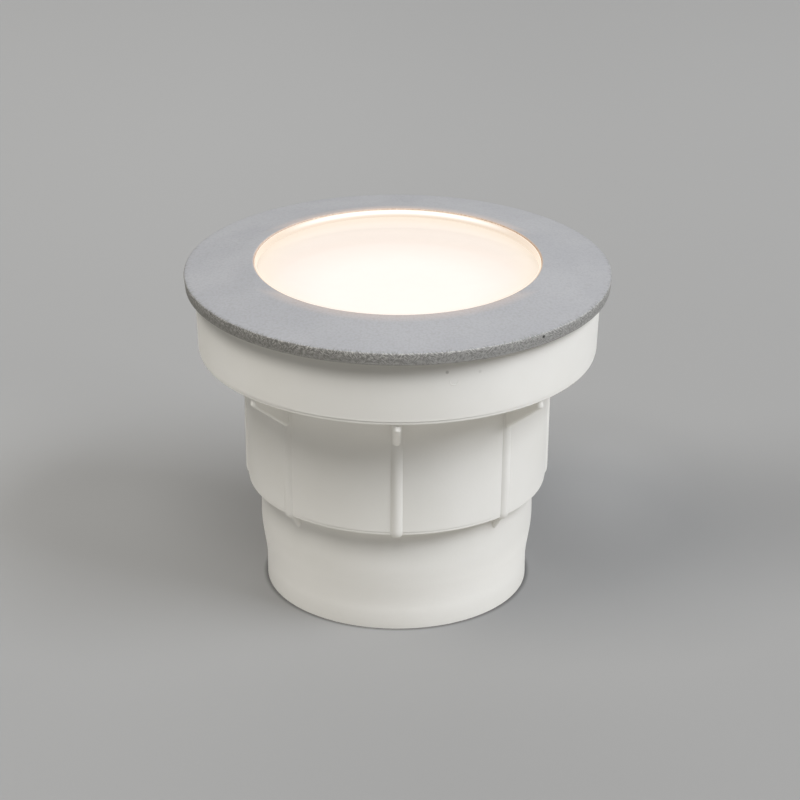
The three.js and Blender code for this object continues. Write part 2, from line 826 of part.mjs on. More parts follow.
function terminalBlock() {
  const middle = blockBottom + blockHeight / 2;
  const body = box(blockLength, blockWidth, blockHeight).translate(0, -blockOffset, middle);
  const bores = poleSides.map((side) => (
    crossCylinder(barrelRadius + boreGap, blockLength + 2 * cutOverrun, side)));
  const screwHoles = poleSides.flatMap((side) => poleSides.map((end) => (
    cylinder(terminalScrewHeadRadius + boreGap, barrelHeight, blockTop + cutOverrun)
      .translate((end * terminalScrewPitch) / 2, poleY(side), 0))));
  const fixing = cylinder(fixingScrewRadius + boreGap, blockBottom - cutOverrun, blockTop, screwSegments);
  const fixingHead = cylinder(fixingScrewHeadRadius + boreGap, blockTop - fixingScrewHead - seatGap,
    blockTop + cutOverrun, screwSegments);
  const fixingFoot = cylinder(fixingBossRadius + boreGap, blockBottom - cutOverrun,
    housingFloor + fixingBossHeight + seatGap);
  const centre = [fixing, fixingHead, fixingFoot].map((hole) => hole.translate(0, -blockOffset, 0));
  return cut(body, ...bores, ...screwHoles, ...centre);
}

function poleY(side) {
  return -blockOffset + (side * poleSpacing) / 2;
}

// A cylinder that lies along X through one pole of the terminal block
function crossCylinder(radius, length, side, segments = smallSegments) {
  const shape = cylinder(radius, -length / 2, length / 2, segments).rotateY(Math.PI / 2);
  return shape.translate(0, poleY(side), barrelHeight);
}

function terminalBarrel(side) {
  const length = blockLength - 2 * barrelInset;
  const holes = poleSides.map((end) => (
    cylinder(terminalScrewRadius + boreGap, barrelHeight, barrelHeight + 2 * barrelRadius, screwSegments)
      .translate((end * terminalScrewPitch) / 2, poleY(side), 0)));
  return cut(crossCylinder(barrelRadius, length, side),
    crossCylinder(barrelBore, length + 2 * cutOverrun, side), ...holes);
}

// One lead runs straight to the near contact; the other passes between the block and the gland.
function leadPath(azimuth) {
  const [from, to] = tailAngles(azimuth);
  const end = onCircle(pinRadius, (from + to) / 2);
  const side = azimuth === 0 ? 1 : -1;
  const start = [-blockLength / 2 - seatGap, poleY(side)];
  const channel = (glandOffset - locknutRadius - blockOffset + blockWidth / 2) / 2;
  const turnBack = [
    [start[0] - 2 * leadRadius, poleY(side), barrelHeight],
    [start[0] - 3 * leadRadius, poleY(side) + 3 * leadRadius, barrelHeight],
    [-blockLength / 2, channel, barrelHeight],
    [0, channel, barrelHeight],
    [blockLength, channel + leadRadius / 2, barrelHeight],
    [end[0] - leadRadius, channel + 4 * leadRadius, barrelHeight - leadRadius],
  ];
  const direct = [
    [start[0] - 3 * leadRadius, poleY(side), barrelHeight],
    [end[0] + 4 * leadRadius, end[1] - 4 * leadRadius, barrelHeight - leadRadius],
    [end[0] + leadRadius, end[1] - 2 * leadRadius, barrelHeight - 2 * leadRadius],
  ];
  const tailEnd = holderBackBottom - contactTail - seatGap;
  return [
    [start[0], start[1], barrelHeight],
    ...(azimuth === 0 ? turnBack : direct),
    [end[0], end[1], tailEnd - 2 * leadRadius],
    [end[0], end[1], tailEnd],
  ].map(([x, y, z]) => new THREE.Vector3(x, y, z));
}

function lead(azimuth) {
  const section = new THREE.Shape();
  for (let i = 0; i < leadSides; i += 1) {
    const [x, y] = onCircle(leadRadius, (i * fullTurn) / leadSides);
    if (i === 0) section.moveTo(x, y);
    else section.lineTo(x, y);
  }
  section.closePath();
  const route = new THREE.CatmullRomCurve3(leadPath(azimuth), false, 'centripetal');
  const steps = Math.round(route.getLength() / (2.5 * leadRadius));
  return join(new THREE.ExtrudeGeometry(section, { steps, extrudePath: route, bevelEnabled: false }));
}

const oRingTop = housingBottom - closeGap;
const flangeTop = oRingTop - oRingSection - closeGap;
const flangeBottom = flangeTop - glandFlange;
const barrelBottom = flangeBottom - glandBarrelLength;

function glandBody() {
  const threadTop = housingFloor + seatGap + locknutHeight + threadStandOut;
  const body = join(
    cylinder(glandBarrelRadius, barrelBottom, flangeBottom + glandFlange / 2, glandSegments),
    hexPrism(glandHexRadius, flangeBottom, flangeTop),
    cylinder(glandThreadRadius, flangeTop - glandFlange / 2, threadTop, glandSegments),
  );
  const seat = cylinder(glandSealRadius + boreGap, barrelBottom - cutOverrun, flangeBottom, glandSegments);
  const throat = cylinder(glandThroat, barrelBottom, threadTop + cutOverrun, glandSegments);
  return cut(body, seat, throat).translate(0, glandOffset, 0);
}

function glandORing() {
  return oRing(oRingRadius, oRingSection, oRingTop - oRingSection / 2, glandSegments)
    .translate(0, glandOffset, 0);
}

function glandLocknut() {
  const bottom = housingFloor + seatGap;
  const nut = hexPrism(locknutRadius, bottom, bottom + locknutHeight);
  const bore = cylinder(glandThreadRadius + boreGap, bottom - cutOverrun,
    bottom + locknutHeight + cutOverrun, glandSegments);
  return cut(nut, bore).translate(0, glandOffset, 0);
}

function glandSeal() {
  const top = flangeBottom - seatGap;
  return washer(glandSealBore, glandSealRadius, top - glandSealLength, top, glandSegments)
    .translate(0, glandOffset, 0);
}

function glandNut() {
  const top = flangeBottom - seatGap;
  const bottom = top - nutLength;
  const sealBottom = top - glandSealLength;
  const domeRadius = glandHexRadius * nutDomeShare;
  const flats = hexPrism(glandHexRadius, top - nutLength * nutFlatsShare, top);
  const dome = revolve([
    [0, bottom],
    ...roundCorner(domeRadius - nutRound, bottom + nutRound, nutRound, -90, 0),
    [domeRadius, bottom + nutLength / 2],
    [0, bottom + nutLength / 2],
  ], glandSegments);
  const cavity = cylinder(glandBarrelRadius + boreGap, sealBottom - seatGap, top + cutOverrun, glandSegments);
  const mouth = cylinder(nutMouth, bottom - cutOverrun, top, glandSegments);
  return cut(join(flats, dome), cavity, mouth).translate(0, glandOffset, 0);
}

// The sleeve and the bezel are what shows when the light is set in the ground.
place('recess_sleeve', recessSleeve(), whiteMoulding());
place('bezel_ring', bezelRing(), greyGrain());
place('bezel_seal', bezelSeal(), blackRubber());
place('lens', lensDisc(), frostedGlass());
place('lens_gasket', lensGasket(), clearSilicone());
place('lens_retainer', lensRetainer(), stainlessSteel());
retainerScrewAzimuths.forEach((azimuth, i) => {
  const fastener = screw(retainerScrewRadius, retainerScrewHeadRadius, retainerScrewHead,
    retainerScrewLength, retainerBottom - closeGap, true);
  const placed = fastener.translate(...onCircle(retainerScrewCircle, azimuth), 0);
  place(`retainer_screw_${i + 1}`, placed, stainlessSteel());
});

place('lamp_housing', lampHousing(), darkMoulding());
place('reflector', reflectorCone(), whiteGloss());
place('lamp_base', lampBase(), whiteGloss());
place('lamp_cover', lampCover(), opal());
place('lamp_board', lampBoard(), boardAluminium());
place('lamp_driver', lampDriver(), boardGreen());
lampAxisSides.forEach((azimuth, i) => {
  place(`lamp_pin_${i + 1}`, lampPin().translate(...onCircle(pinRadius, azimuth), 0), brass());
});

place('lampholder_base', lampholderBase(), whiteGloss());
place('lampholder_back', lampholderBack(), whiteGloss());
lampAxisSides.forEach((azimuth, i) => place(`contact_${i + 1}`, contact(azimuth), brass()));
holderScrewAzimuths.forEach((azimuth, i) => {
  const seat = holderTop - screwHead;
  const fastener = screw(screwRadius, screwHeadRadius, screwHead - seatGap, seat - postTop + screwBite, seat);
  const placed = fastener.translate(...onCircle(holderScrewCircle, azimuth), 0);
  place(`lampholder_screw_${i + 1}`, placed, stainlessSteel());
});

place('terminal_block', terminalBlock(), whiteGloss());
poleSides.forEach((side, i) => place(`terminal_barrel_${i + 1}`, terminalBarrel(side), brass()));
poleSides.flatMap((side) => poleSides.map((end) => [side, end])).forEach(([side, end], i) => {
  const seat = barrelHeight + barrelRadius + closeGap;
  const length = barrelRadius + closeGap;
  const fastener = screw(terminalScrewRadius, terminalScrewHeadRadius, terminalScrewHead, length, seat);
  const placed = fastener.translate((end * terminalScrewPitch) / 2, poleY(side), 0);
  place(`terminal_screw_${i + 1}`, placed, stainlessSteel());
});
const fixingSeat = blockTop - fixingScrewHead;
const fixingLength = fixingSeat - housingBottom - floorThickness / 2 - seatGap;
const fixingScrew = screw(fixingScrewRadius, fixingScrewHeadRadius, fixingScrewHead - seatGap,
  fixingLength, fixingSeat);
place('terminal_fixing_screw', fixingScrew.translate(0, -blockOffset, 0), stainlessSteel());
place('lead_1', lead(lampAxisSides[0]), leadInsulation(0x6b4a2f));
place('lead_2', lead(lampAxisSides[1]), leadInsulation(0x3567a8));

place('gland_body', glandBody(), darkMoulding());
place('gland_o_ring', glandORing(), blackRubber());
place('gland_locknut', glandLocknut(), darkMoulding());
place('gland_seal', glandSeal(), blackRubber());
place('gland_nut', glandNut(), darkMoulding());

export default light;
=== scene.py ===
"""A recessed pathway light: a white moulded sleeve, a grained grey bezel and a lit frosted lens.

Sizes are in millimetres and become metres where a mesh or a node is made. FLOOR_SIZE, the softboxes
and the camera are in metres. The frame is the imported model's: +Z up, with the origin at the centre
of the sleeve's foot.
"""
import json
import math

import bmesh
import bpy
from mathutils import Matrix, Vector, noise


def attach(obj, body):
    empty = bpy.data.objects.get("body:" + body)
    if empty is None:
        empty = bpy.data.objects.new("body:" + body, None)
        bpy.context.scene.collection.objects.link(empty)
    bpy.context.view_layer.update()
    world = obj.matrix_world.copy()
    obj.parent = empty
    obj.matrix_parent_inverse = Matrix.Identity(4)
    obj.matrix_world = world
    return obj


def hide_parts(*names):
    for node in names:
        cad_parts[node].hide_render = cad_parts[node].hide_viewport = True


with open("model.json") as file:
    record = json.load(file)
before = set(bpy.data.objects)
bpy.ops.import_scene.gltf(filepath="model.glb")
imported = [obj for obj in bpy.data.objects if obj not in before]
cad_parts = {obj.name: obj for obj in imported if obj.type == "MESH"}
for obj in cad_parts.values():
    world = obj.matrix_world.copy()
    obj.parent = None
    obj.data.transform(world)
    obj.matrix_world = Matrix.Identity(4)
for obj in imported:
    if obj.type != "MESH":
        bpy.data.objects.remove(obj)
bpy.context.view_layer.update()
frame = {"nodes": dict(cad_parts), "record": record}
nodes = frame["nodes"]
MM = 0.001

# Sleeve
FOOT_RADIUS = 37.5
FOOT_ROUND = 0.15
LOWER_RADIUS = 39.05
LOWER_HEIGHT = 32
NECK_BOTTOM = 5.8
NECK_TOP = 20
MIDDLE_RADIUS = 42.7
MIDDLE_DRAFT = 0.5
SHELF_UNDERSIDE = 71.65
COLLAR_RADIUS = 56.3
COLLAR_DRAFT = 0.7
RIM_HEIGHT = 90.4
SLEEVE_WALL = 2
SLEEVE_ROUND = 0.3
SLEEVE_FILLET = 0.7
SLEEVE_TIP = 0.35
STEP_LINE_DEPTH = 0.12
COLLAR_LINE_DEPTH = 0.18
SHELF_TOP = SHELF_UNDERSIDE + SLEEVE_WALL

# Ribs, gussets and keys of the sleeve
RIB_COUNT = 8
RIB_START = 90
RIB_HALF_WIDTH = 1.7
RIB_HEIGHT = 0.65
RIB_FOOT = 0.7
RIB_TOP_GAP = 0.2
RIB_DOME = 2.2
RIB_SINK = 0.35
RIB_FLARE = 0.2
RIB_CROWN = 0.75
WEB_THICKNESS = 2.4
WEB_ROOT = 1.2
GUSSET_END = COLLAR_RADIUS - 0.5
GUSSET_DROP = 12.2
GUSSET_TOE = 2.2
STEP_GUSSET_END = MIDDLE_RADIUS - 0.65
STEP_GUSSET_DROP = 4.9
STEP_GUSSET_COUNT = 4
STEP_GUSSET_START = 45
KEY_COUNT = 3
KEY_SIZE = (1.7, 6, 3)
KEY_BEVEL = 0.3

# The moulding gate's mark on the collar
GATE_AZIMUTH = math.radians(-74.5)
GATE_HEIGHT = 84.0
GATE_RING = 1.2
GATE_SECTION = 0.16
GATE_PROUD = 0.03

# Bezel
BEZEL_RADIUS = 60
BEZEL_DRAFT = 0.3
BEZEL_ROUND = 0.5
BEZEL_LIP = 90.4
BEZEL_SEAT = 90.7
BEZEL_EDGE_TOP = 93.7
BEZEL_TOP = 97.1
BEZEL_SHOULDER = 0.5
OPENING_RADIUS = 40.3
LIP_UNDERSIDE = 95.4
LIP_ROUND = 0.4
POCKET_RADIUS = 43.8
SKIRT_RADIUS = 49.7
SKIRT_INNER = 48.1
SKIRT_BOTTOM = 84.6
LIP_CLEARANCE = 0.4
SEAL_RADIUS = 52.6
SEAL_HALF_WIDTH = 1
SEAL_DEPTH = 1.1
LUG_COUNT = 3
LUG_START = 30
LUG_SPAN = 23
LUG_DEPTH = 1.4
LUG_HEIGHT = 2.5
LUG_ROOT = 0.8
LUG_BEVEL = 0.25

# Lens and its gasket
LENS_RADIUS = 43.4
LENS_TOP = 94.6
LENS_BOTTOM = 89.6
LENS_ROUND = 0.5
GASKET_INNER = 39.6
GASKET_BOTTOM = 94.7
GASKET_FLANGE_TOP = 95.3
GASKET_TOP = 96.8
GASKET_WALL = 0.6
GASKET_GAP = 0.1

# Lamp and reflector
COVER_RADIUS = 36.9
COVER_ROUND = 2.4
COVER_WALL = 1.5
LAMP_TOP = 88.3
COVER_SEAT = 79.9
REFLECTOR_OUTER = 47.5
REFLECTOR_TOP = 85.4
REFLECTOR_FOOT = 76.25
REFLECTOR_BRIM = 76.85
REFLECTOR_INNER = 38.2
REFLECTOR_WALL = 1.2

FULL_TURN = 2 * math.pi
ROUND_SEGMENTS = 192
BEZEL_SEGMENTS = 720
SMOOTH_ANGLE = math.radians(32)
GRAIN_SMOOTH_ANGLE = math.radians(50)
BEVEL_ANGLE = math.radians(40)


# Profiles

def arc(radius, height, size, start, end, steps=6):
    """Points of a rounded corner, from one direction to another in degrees."""
    angles = [math.radians(start + (end - start) * i / steps) for i in range(steps + 1)]
    return [(radius + size * math.cos(a), height + size * math.sin(a)) for a in angles]


def neck(inset, steps=12):
    """The S-curve by which the foot widens into the lower wall."""
    points = []
    for i in range(steps + 1):
        rise = i / steps
        widening = rise * rise * (3 - 2 * rise)
        radius = FOOT_RADIUS + (LOWER_RADIUS - FOOT_RADIUS) * widening - inset
        points.append((radius, NECK_BOTTOM + (NECK_TOP - NECK_BOTTOM) * rise))
    return points


def spaced(outline, step):
    """The same open outline with extra points, none further apart than the step."""
    points = [outline[0]]
    for (r0, z0), (r1, z1) in zip(outline, outline[1:]):
        count = max(1, math.ceil(math.hypot(r1 - r0, z1 - z0) / step))
        shares = [i / count for i in range(1, count + 1)]
        points += [(r0 + (r1 - r0) * share, z0 + (z1 - z0) * share) for share in shares]
    return points


# Mesh building

def lathe(profile, segments=ROUND_SEGMENTS):
    """Vertices and faces of an anticlockwise (radius, height) profile turned about the axis."""
    vertices, rings = [], []
    for radius, height in profile:
        count = 1 if radius == 0 else segments
        rings.append(range(len(vertices), len(vertices) + count))
        for i in range(count):
            turn = FULL_TURN * i / segments
            vertices.append((radius * math.cos(turn), radius * math.sin(turn), height))
    closed = profile[0][0] != 0
    faces = []
    for low, high in zip(rings, rings[1:] + (rings[:1] if closed else [])):
        for i in range(segments):
            j = (i + 1) % segments
            corners = (low[i % len(low)], low[j % len(low)], high[j % len(high)], high[i % len(high)])
            face = tuple(dict.fromkeys(corners))
            if len(face) > 2:
                faces.append(face)
    return vertices, faces


def placed(name, data):
    """A new object in the scene for a mesh, a light or a camera."""
    thing = bpy.data.objects.new(name, data)
    bpy.context.scene.collection.objects.link(thing)
    return thing


def make_object(name, vertices, faces):
    """A mesh object from points in millimetres."""
    mesh = bpy.data.meshes.new(name)
    mesh.from_pydata([Vector(v) * MM for v in vertices], [], faces)
    return placed(name, mesh)


def shade(thing, angle=SMOOTH_ANGLE):
    """Smooth shading that breaks at edges sharper than the angle."""
    edit = bmesh.new()
    edit.from_mesh(thing.data)
    for face in edit.faces:
        face.smooth = True
    for edge in edit.edges:
        edge.smooth = edge.is_manifold and edge.calc_face_angle() < angle
    edit.to_mesh(thing.data)
    edit.free()
    return thing


def evaluated(thing, name):
    """The object with its modifiers applied, as a new plain object. The old one is removed."""
    depsgraph = bpy.context.evaluated_depsgraph_get()
    mesh = bpy.data.meshes.new_from_object(thing.evaluated_get(depsgraph))
    bpy.data.objects.remove(thing)
    return placed(name, mesh)


def joined(name, *things):
    """One object from several. Their own objects are removed."""
    edit = bmesh.new()
    for thing in things:
        edit.from_mesh(thing.data)
        bpy.data.objects.remove(thing)
    mesh = bpy.data.meshes.new(name)
    edit.to_mesh(mesh)
    edit.free()
    return placed(name, mesh)


def stacked(name, rows):
    """A closed solid from rows of points in millimetres, all of one length, one above the other."""
    row, last = len(rows[0]), len(rows) - 1
    faces = []
    for k in range(last):
        for i in range(row):
            j = (i + 1) % row
            faces.append((k * row + i, k * row + j, (k + 1) * row + j, (k + 1) * row + i))
    faces.append(tuple(reversed(range(row))))
    faces.append(tuple(last * row + i for i in range(row)))
    return make_object(name, [point for points in rows for point in points], faces)


def prism(name, outline, low, high):
    """An upright prism from an anticlockwise (x, y) outline."""
    return stacked(name, [[(x, y, height) for x, y in outline] for height in (low, high)])


def sector(inner, outer, start, end, steps=12):
    """The outline of a block that follows the circle between two angles in degrees."""
    turns = [math.radians(start + (end - start) * i / steps) for i in range(steps + 1)]
    outside = [(outer * math.cos(t), outer * math.sin(t)) for t in turns]
    return outside + [(inner * math.cos(t), inner * math.sin(t)) for t in reversed(turns)]


def bevelled(thing, width):
    """Rounds the object's sharp edges by a width in millimetres."""
    edit = bmesh.new()
    edit.from_mesh(thing.data)
    sharp = [e for e in edit.edges if e.is_manifold and abs(e.calc_face_angle()) > BEVEL_ANGLE]
    bmesh.ops.bevel(edit, geom=sharp, offset=width * MM, offset_type="OFFSET", segments=2,
                    profile=0.5, affect="EDGES", clamp_overlap=True)
    edit.to_mesh(thing.data)
    edit.free()
    return thing


# Node helpers

def feed(tree, operand, socket):
    """Links a socket to another one, or sets it to a plain value. None leaves it as it is."""
    if isinstance(operand, bpy.types.NodeSocket):
        tree.links.new(operand, socket)
    elif operand is not None:
        socket.default_value = operand


def math_node(tree, operation, *operands):
    """A Math node. Each operand is a socket or a number. Returns its value socket."""
    node = tree.nodes.new("ShaderNodeMath")
    node.operation = operation
    for operand, socket in zip(operands, node.inputs):
        feed(tree, operand, socket)
    return node.outputs["Value"]


# Repeats

def repeat_tree():
    """Geometry nodes that set copies of the object's mesh round the axis."""
    tree = bpy.data.node_groups.new("repeat_round_axis", "GeometryNodeTree")
    tree.is_modifier = True
    sockets = [("Geometry", "Geometry"), ("Count", "Int"), ("Start", "Float"), ("Finish", "Material")]
    for label, kind in sockets:
        tree.interface.new_socket(label, in_out="INPUT", socket_type="NodeSocket" + kind)
    tree.interface.new_socket("Geometry", in_out="OUTPUT", socket_type="NodeSocketGeometry")
    add = tree.nodes.new
    given, made = add("NodeGroupInput"), add("NodeGroupOutput")
    points = add("GeometryNodePoints")
    angles = add("ShaderNodeCombineXYZ")
    rotation = add("FunctionNodeEulerToRotation")
    copies = add("GeometryNodeInstanceOnPoints")
    real = add("GeometryNodeRealizeInstances")
    paint = add("GeometryNodeSetMaterial")
    index = add("GeometryNodeInputIndex").outputs["Index"]
    share = math_node(tree, "DIVIDE", index, given.outputs["Count"])
    turn = math_node(tree, "MULTIPLY_ADD", share, FULL_TURN, given.outputs["Start"])
    feed(tree, turn, angles.inputs["Z"])
    for source, output, target, socket in (
        (given, "Count", points, "Count"),
        (angles, "Vector", rotation, "Euler"),
        (points, "Points", copies, "Points"),
        (given, "Geometry", copies, "Instance"),
        (rotation, "Rotation", copies, "Rotation"),
        (copies, "Instances", real, "Geometry"),
        (real, "Geometry", paint, "Geometry"),
        (given, "Finish", paint, "Material"),
        (paint, "Geometry", made, "Geometry"),
    ):
        feed(tree, source.outputs[output], target.inputs[socket])
    return tree


REPEAT_ROUND_AXIS = repeat_tree()


def round_axis(thing, count, start, finish):
    """Copies of the object round the axis, from a start in degrees, as one plain mesh."""
    step = thing.modifiers.new("repeat", "NODES")
    step.node_group = REPEAT_ROUND_AXIS
    values = {"Count": count, "Start": math.radians(start), "Finish": finish}
    for item in REPEAT_ROUND_AXIS.interface.items_tree:
        if item.in_out == "INPUT" and item.name in values:
            step[item.identifier] = values[item.name]
    return evaluated(thing, thing.name)


# Shader nodes and groups

def vector_node(tree, operation, first, second=None):
    """A Vector Math node on sockets or vectors. Returns its result."""
    node = tree.nodes.new("ShaderNodeVectorMath")
    node.operation = operation
    feed(tree, first, node.inputs[0])
    feed(tree, second, node.inputs["Scale" if operation == "SCALE" else 1])
    return node.outputs["Value" if operation in ("LENGTH", "DISTANCE") else "Vector"]


def colour_mix(tree, share, first, second):
    """A Mix node between two colours, each a socket or three numbers."""
    node = tree.nodes.new("ShaderNodeMix")
    node.data_type = "RGBA"
    feed(tree, share, node.inputs["Factor"])
    for label, colour in (("A", first), ("B", second)):
        feed(tree, (*colour, 1) if isinstance(colour, tuple) else colour, node.inputs[label])
    return node.outputs["Result"]


def ramp(tree, value, low, high, to_low=0.0, to_high=1.0):
    """A smooth step of a value between two limits."""
    node = tree.nodes.new("ShaderNodeMapRange")
    node.interpolation_type = "SMOOTHSTEP"
    feed(tree, value, node.inputs["Value"])
    for label, number in (("From Min", low), ("From Max", high), ("To Min", to_low), ("To Max", to_high)):
        node.inputs[label].default_value = number
    return node.outputs["Result"]


def noise_value(tree, vector, scale, detail):
    """A noise texture's value. The scale is a number or a socket."""
    node = tree.nodes.new("ShaderNodeTexNoise")
    node.inputs["Detail"].default_value = detail
    feed(tree, vector, node.inputs["Vector"])
    feed(tree, scale, node.inputs["Scale"])
    return node.outputs["Fac"]


def shader_group(name, numbers, outputs):
    """A shader group from a vector and some numbers to some values, with its two end nodes."""
    tree = bpy.data.node_groups.new(name, "ShaderNodeTree")
    tree.interface.new_socket("Vector", in_out="INPUT", socket_type="NodeSocketVector")
    for label, value in numbers.items():
        socket = tree.interface.new_socket(label, in_out="INPUT", socket_type="NodeSocketFloat")
        socket.default_value = value
    for label in outputs:
        tree.interface.new_socket(label, in_out="OUTPUT", socket_type="NodeSocketFloat")
    return tree, tree.nodes.new("NodeGroupInput"), tree.nodes.new("NodeGroupOutput")


def mottle_group():
    """Cloudy and fine variation of a moulded surface, both round 0.5."""
    numbers = {"Cloud Scale": 40.0, "Fine Scale": 900.0}
    tree, given, made = shader_group("moulding_mottle", numbers, ["Cloud", "Fine"])
    for label, detail in (("Cloud", 3.0), ("Fine", 2.0)):
        value = noise_value(tree, given.outputs["Vector"], given.outputs[label + " Scale"], detail)
        feed(tree, value, made.inputs[label])
    return tree


def grain_group():
    """Height of a leather-like moulded grain: soft cells whose places are bent by noise."""
    numbers = {"Scale": 1200.0, "Distortion": 0.5}
    tree, given, made = shader_group("moulded_grain", numbers, ["Height"])
    place = vector_node(tree, "SCALE", given.outputs["Vector"], given.outputs["Scale"])
    bend = tree.nodes.new("ShaderNodeTexNoise")
    bend.inputs["Detail"].default_value = 1.0
    bend.inputs["Scale"].default_value = 0.8
    feed(tree, place, bend.inputs["Vector"])
    shift = vector_node(tree, "SCALE", bend.outputs["Color"], given.outputs["Distortion"])
    cells = tree.nodes.new("ShaderNodeTexVoronoi")
    cells.feature = "SMOOTH_F1"
    cells.inputs["Smoothness"].default_value = 0.6
    cells.inputs["Scale"].default_value = 1.0
    feed(tree, vector_node(tree, "ADD", place, shift), cells.inputs["Vector"])
    feed(tree, cells.outputs["Distance"], made.inputs["Height"])
    return tree


def speck_group():
    """A mask of a few tiny dark inclusions in a moulding."""
    numbers = {"Scale": 110.0, "Size": 0.03, "Rarity": 0.7}
    tree, given, made = shader_group("moulding_specks", numbers, ["Mask"])
    cells = tree.nodes.new("ShaderNodeTexVoronoi")
    feed(tree, given.outputs["Vector"], cells.inputs["Vector"])
    feed(tree, given.outputs["Scale"], cells.inputs["Scale"])
    near = math_node(tree, "LESS_THAN", cells.outputs["Distance"], given.outputs["Size"])
    pick = tree.nodes.new("ShaderNodeSeparateColor")
    feed(tree, cells.outputs["Color"], pick.inputs["Color"])
    rare = math_node(tree, "GREATER_THAN", pick.outputs["Red"], given.outputs["Rarity"])
    feed(tree, math_node(tree, "MULTIPLY", near, rare), made.inputs["Mask"])
    return tree


STROKE_SLANTS = (math.radians(52), math.radians(-38))
STROKE_PATCH_SCALE = 330.0


def streak_group():
    """Short slanting strokes of a coarse moulded grain on an upright round face, 0 to 1."""
    numbers = {"Radius": 0.06, "Length Scale": 1050.0, "Width Scale": 2900.0}
    tree, given, made = shader_group("edge_strokes", numbers, ["Strokes"])
    place = tree.nodes.new("ShaderNodeSeparateXYZ")
    feed(tree, given.outputs["Vector"], place.inputs["Vector"])
    turn = math_node(tree, "ARCTAN2", place.outputs["Y"], place.outputs["X"])
    along = math_node(tree, "MULTIPLY", turn, given.outputs["Radius"])
    mix = tree.nodes.new("ShaderNodeMix")
    for slant, label in zip(STROKE_SLANTS, ("A", "B")):
        spot = tree.nodes.new("ShaderNodeCombineXYZ")
        c, s = math.cos(slant), math.sin(slant)
        for letter, by_along, by_rise, scale in (("X", c, s, "Length Scale"), ("Y", -s, c, "Width Scale")):
            flat = math_node(tree, "MULTIPLY", along, by_along)
            steep = math_node(tree, "MULTIPLY", place.outputs["Z"], by_rise)
            turned = math_node(tree, "ADD", flat, steep)
            feed(tree, math_node(tree, "MULTIPLY", turned, given.outputs[scale]), spot.inputs[letter])
        feed(tree, noise_value(tree, spot.outputs["Vector"], 1.0, 1.0), mix.inputs[label])
    patch = ramp(tree, noise_value(tree, given.outputs["Vector"], STROKE_PATCH_SCALE, 0.0), 0.44, 0.56)
    feed(tree, patch, mix.inputs["Factor"])
    feed(tree, ramp(tree, mix.outputs["Result"], 0.33, 0.67), made.inputs["Strokes"])
    return tree


MOTTLE = mottle_group()
GRAIN = grain_group()
SPECKS = speck_group()
STROKES = streak_group()


# Materials

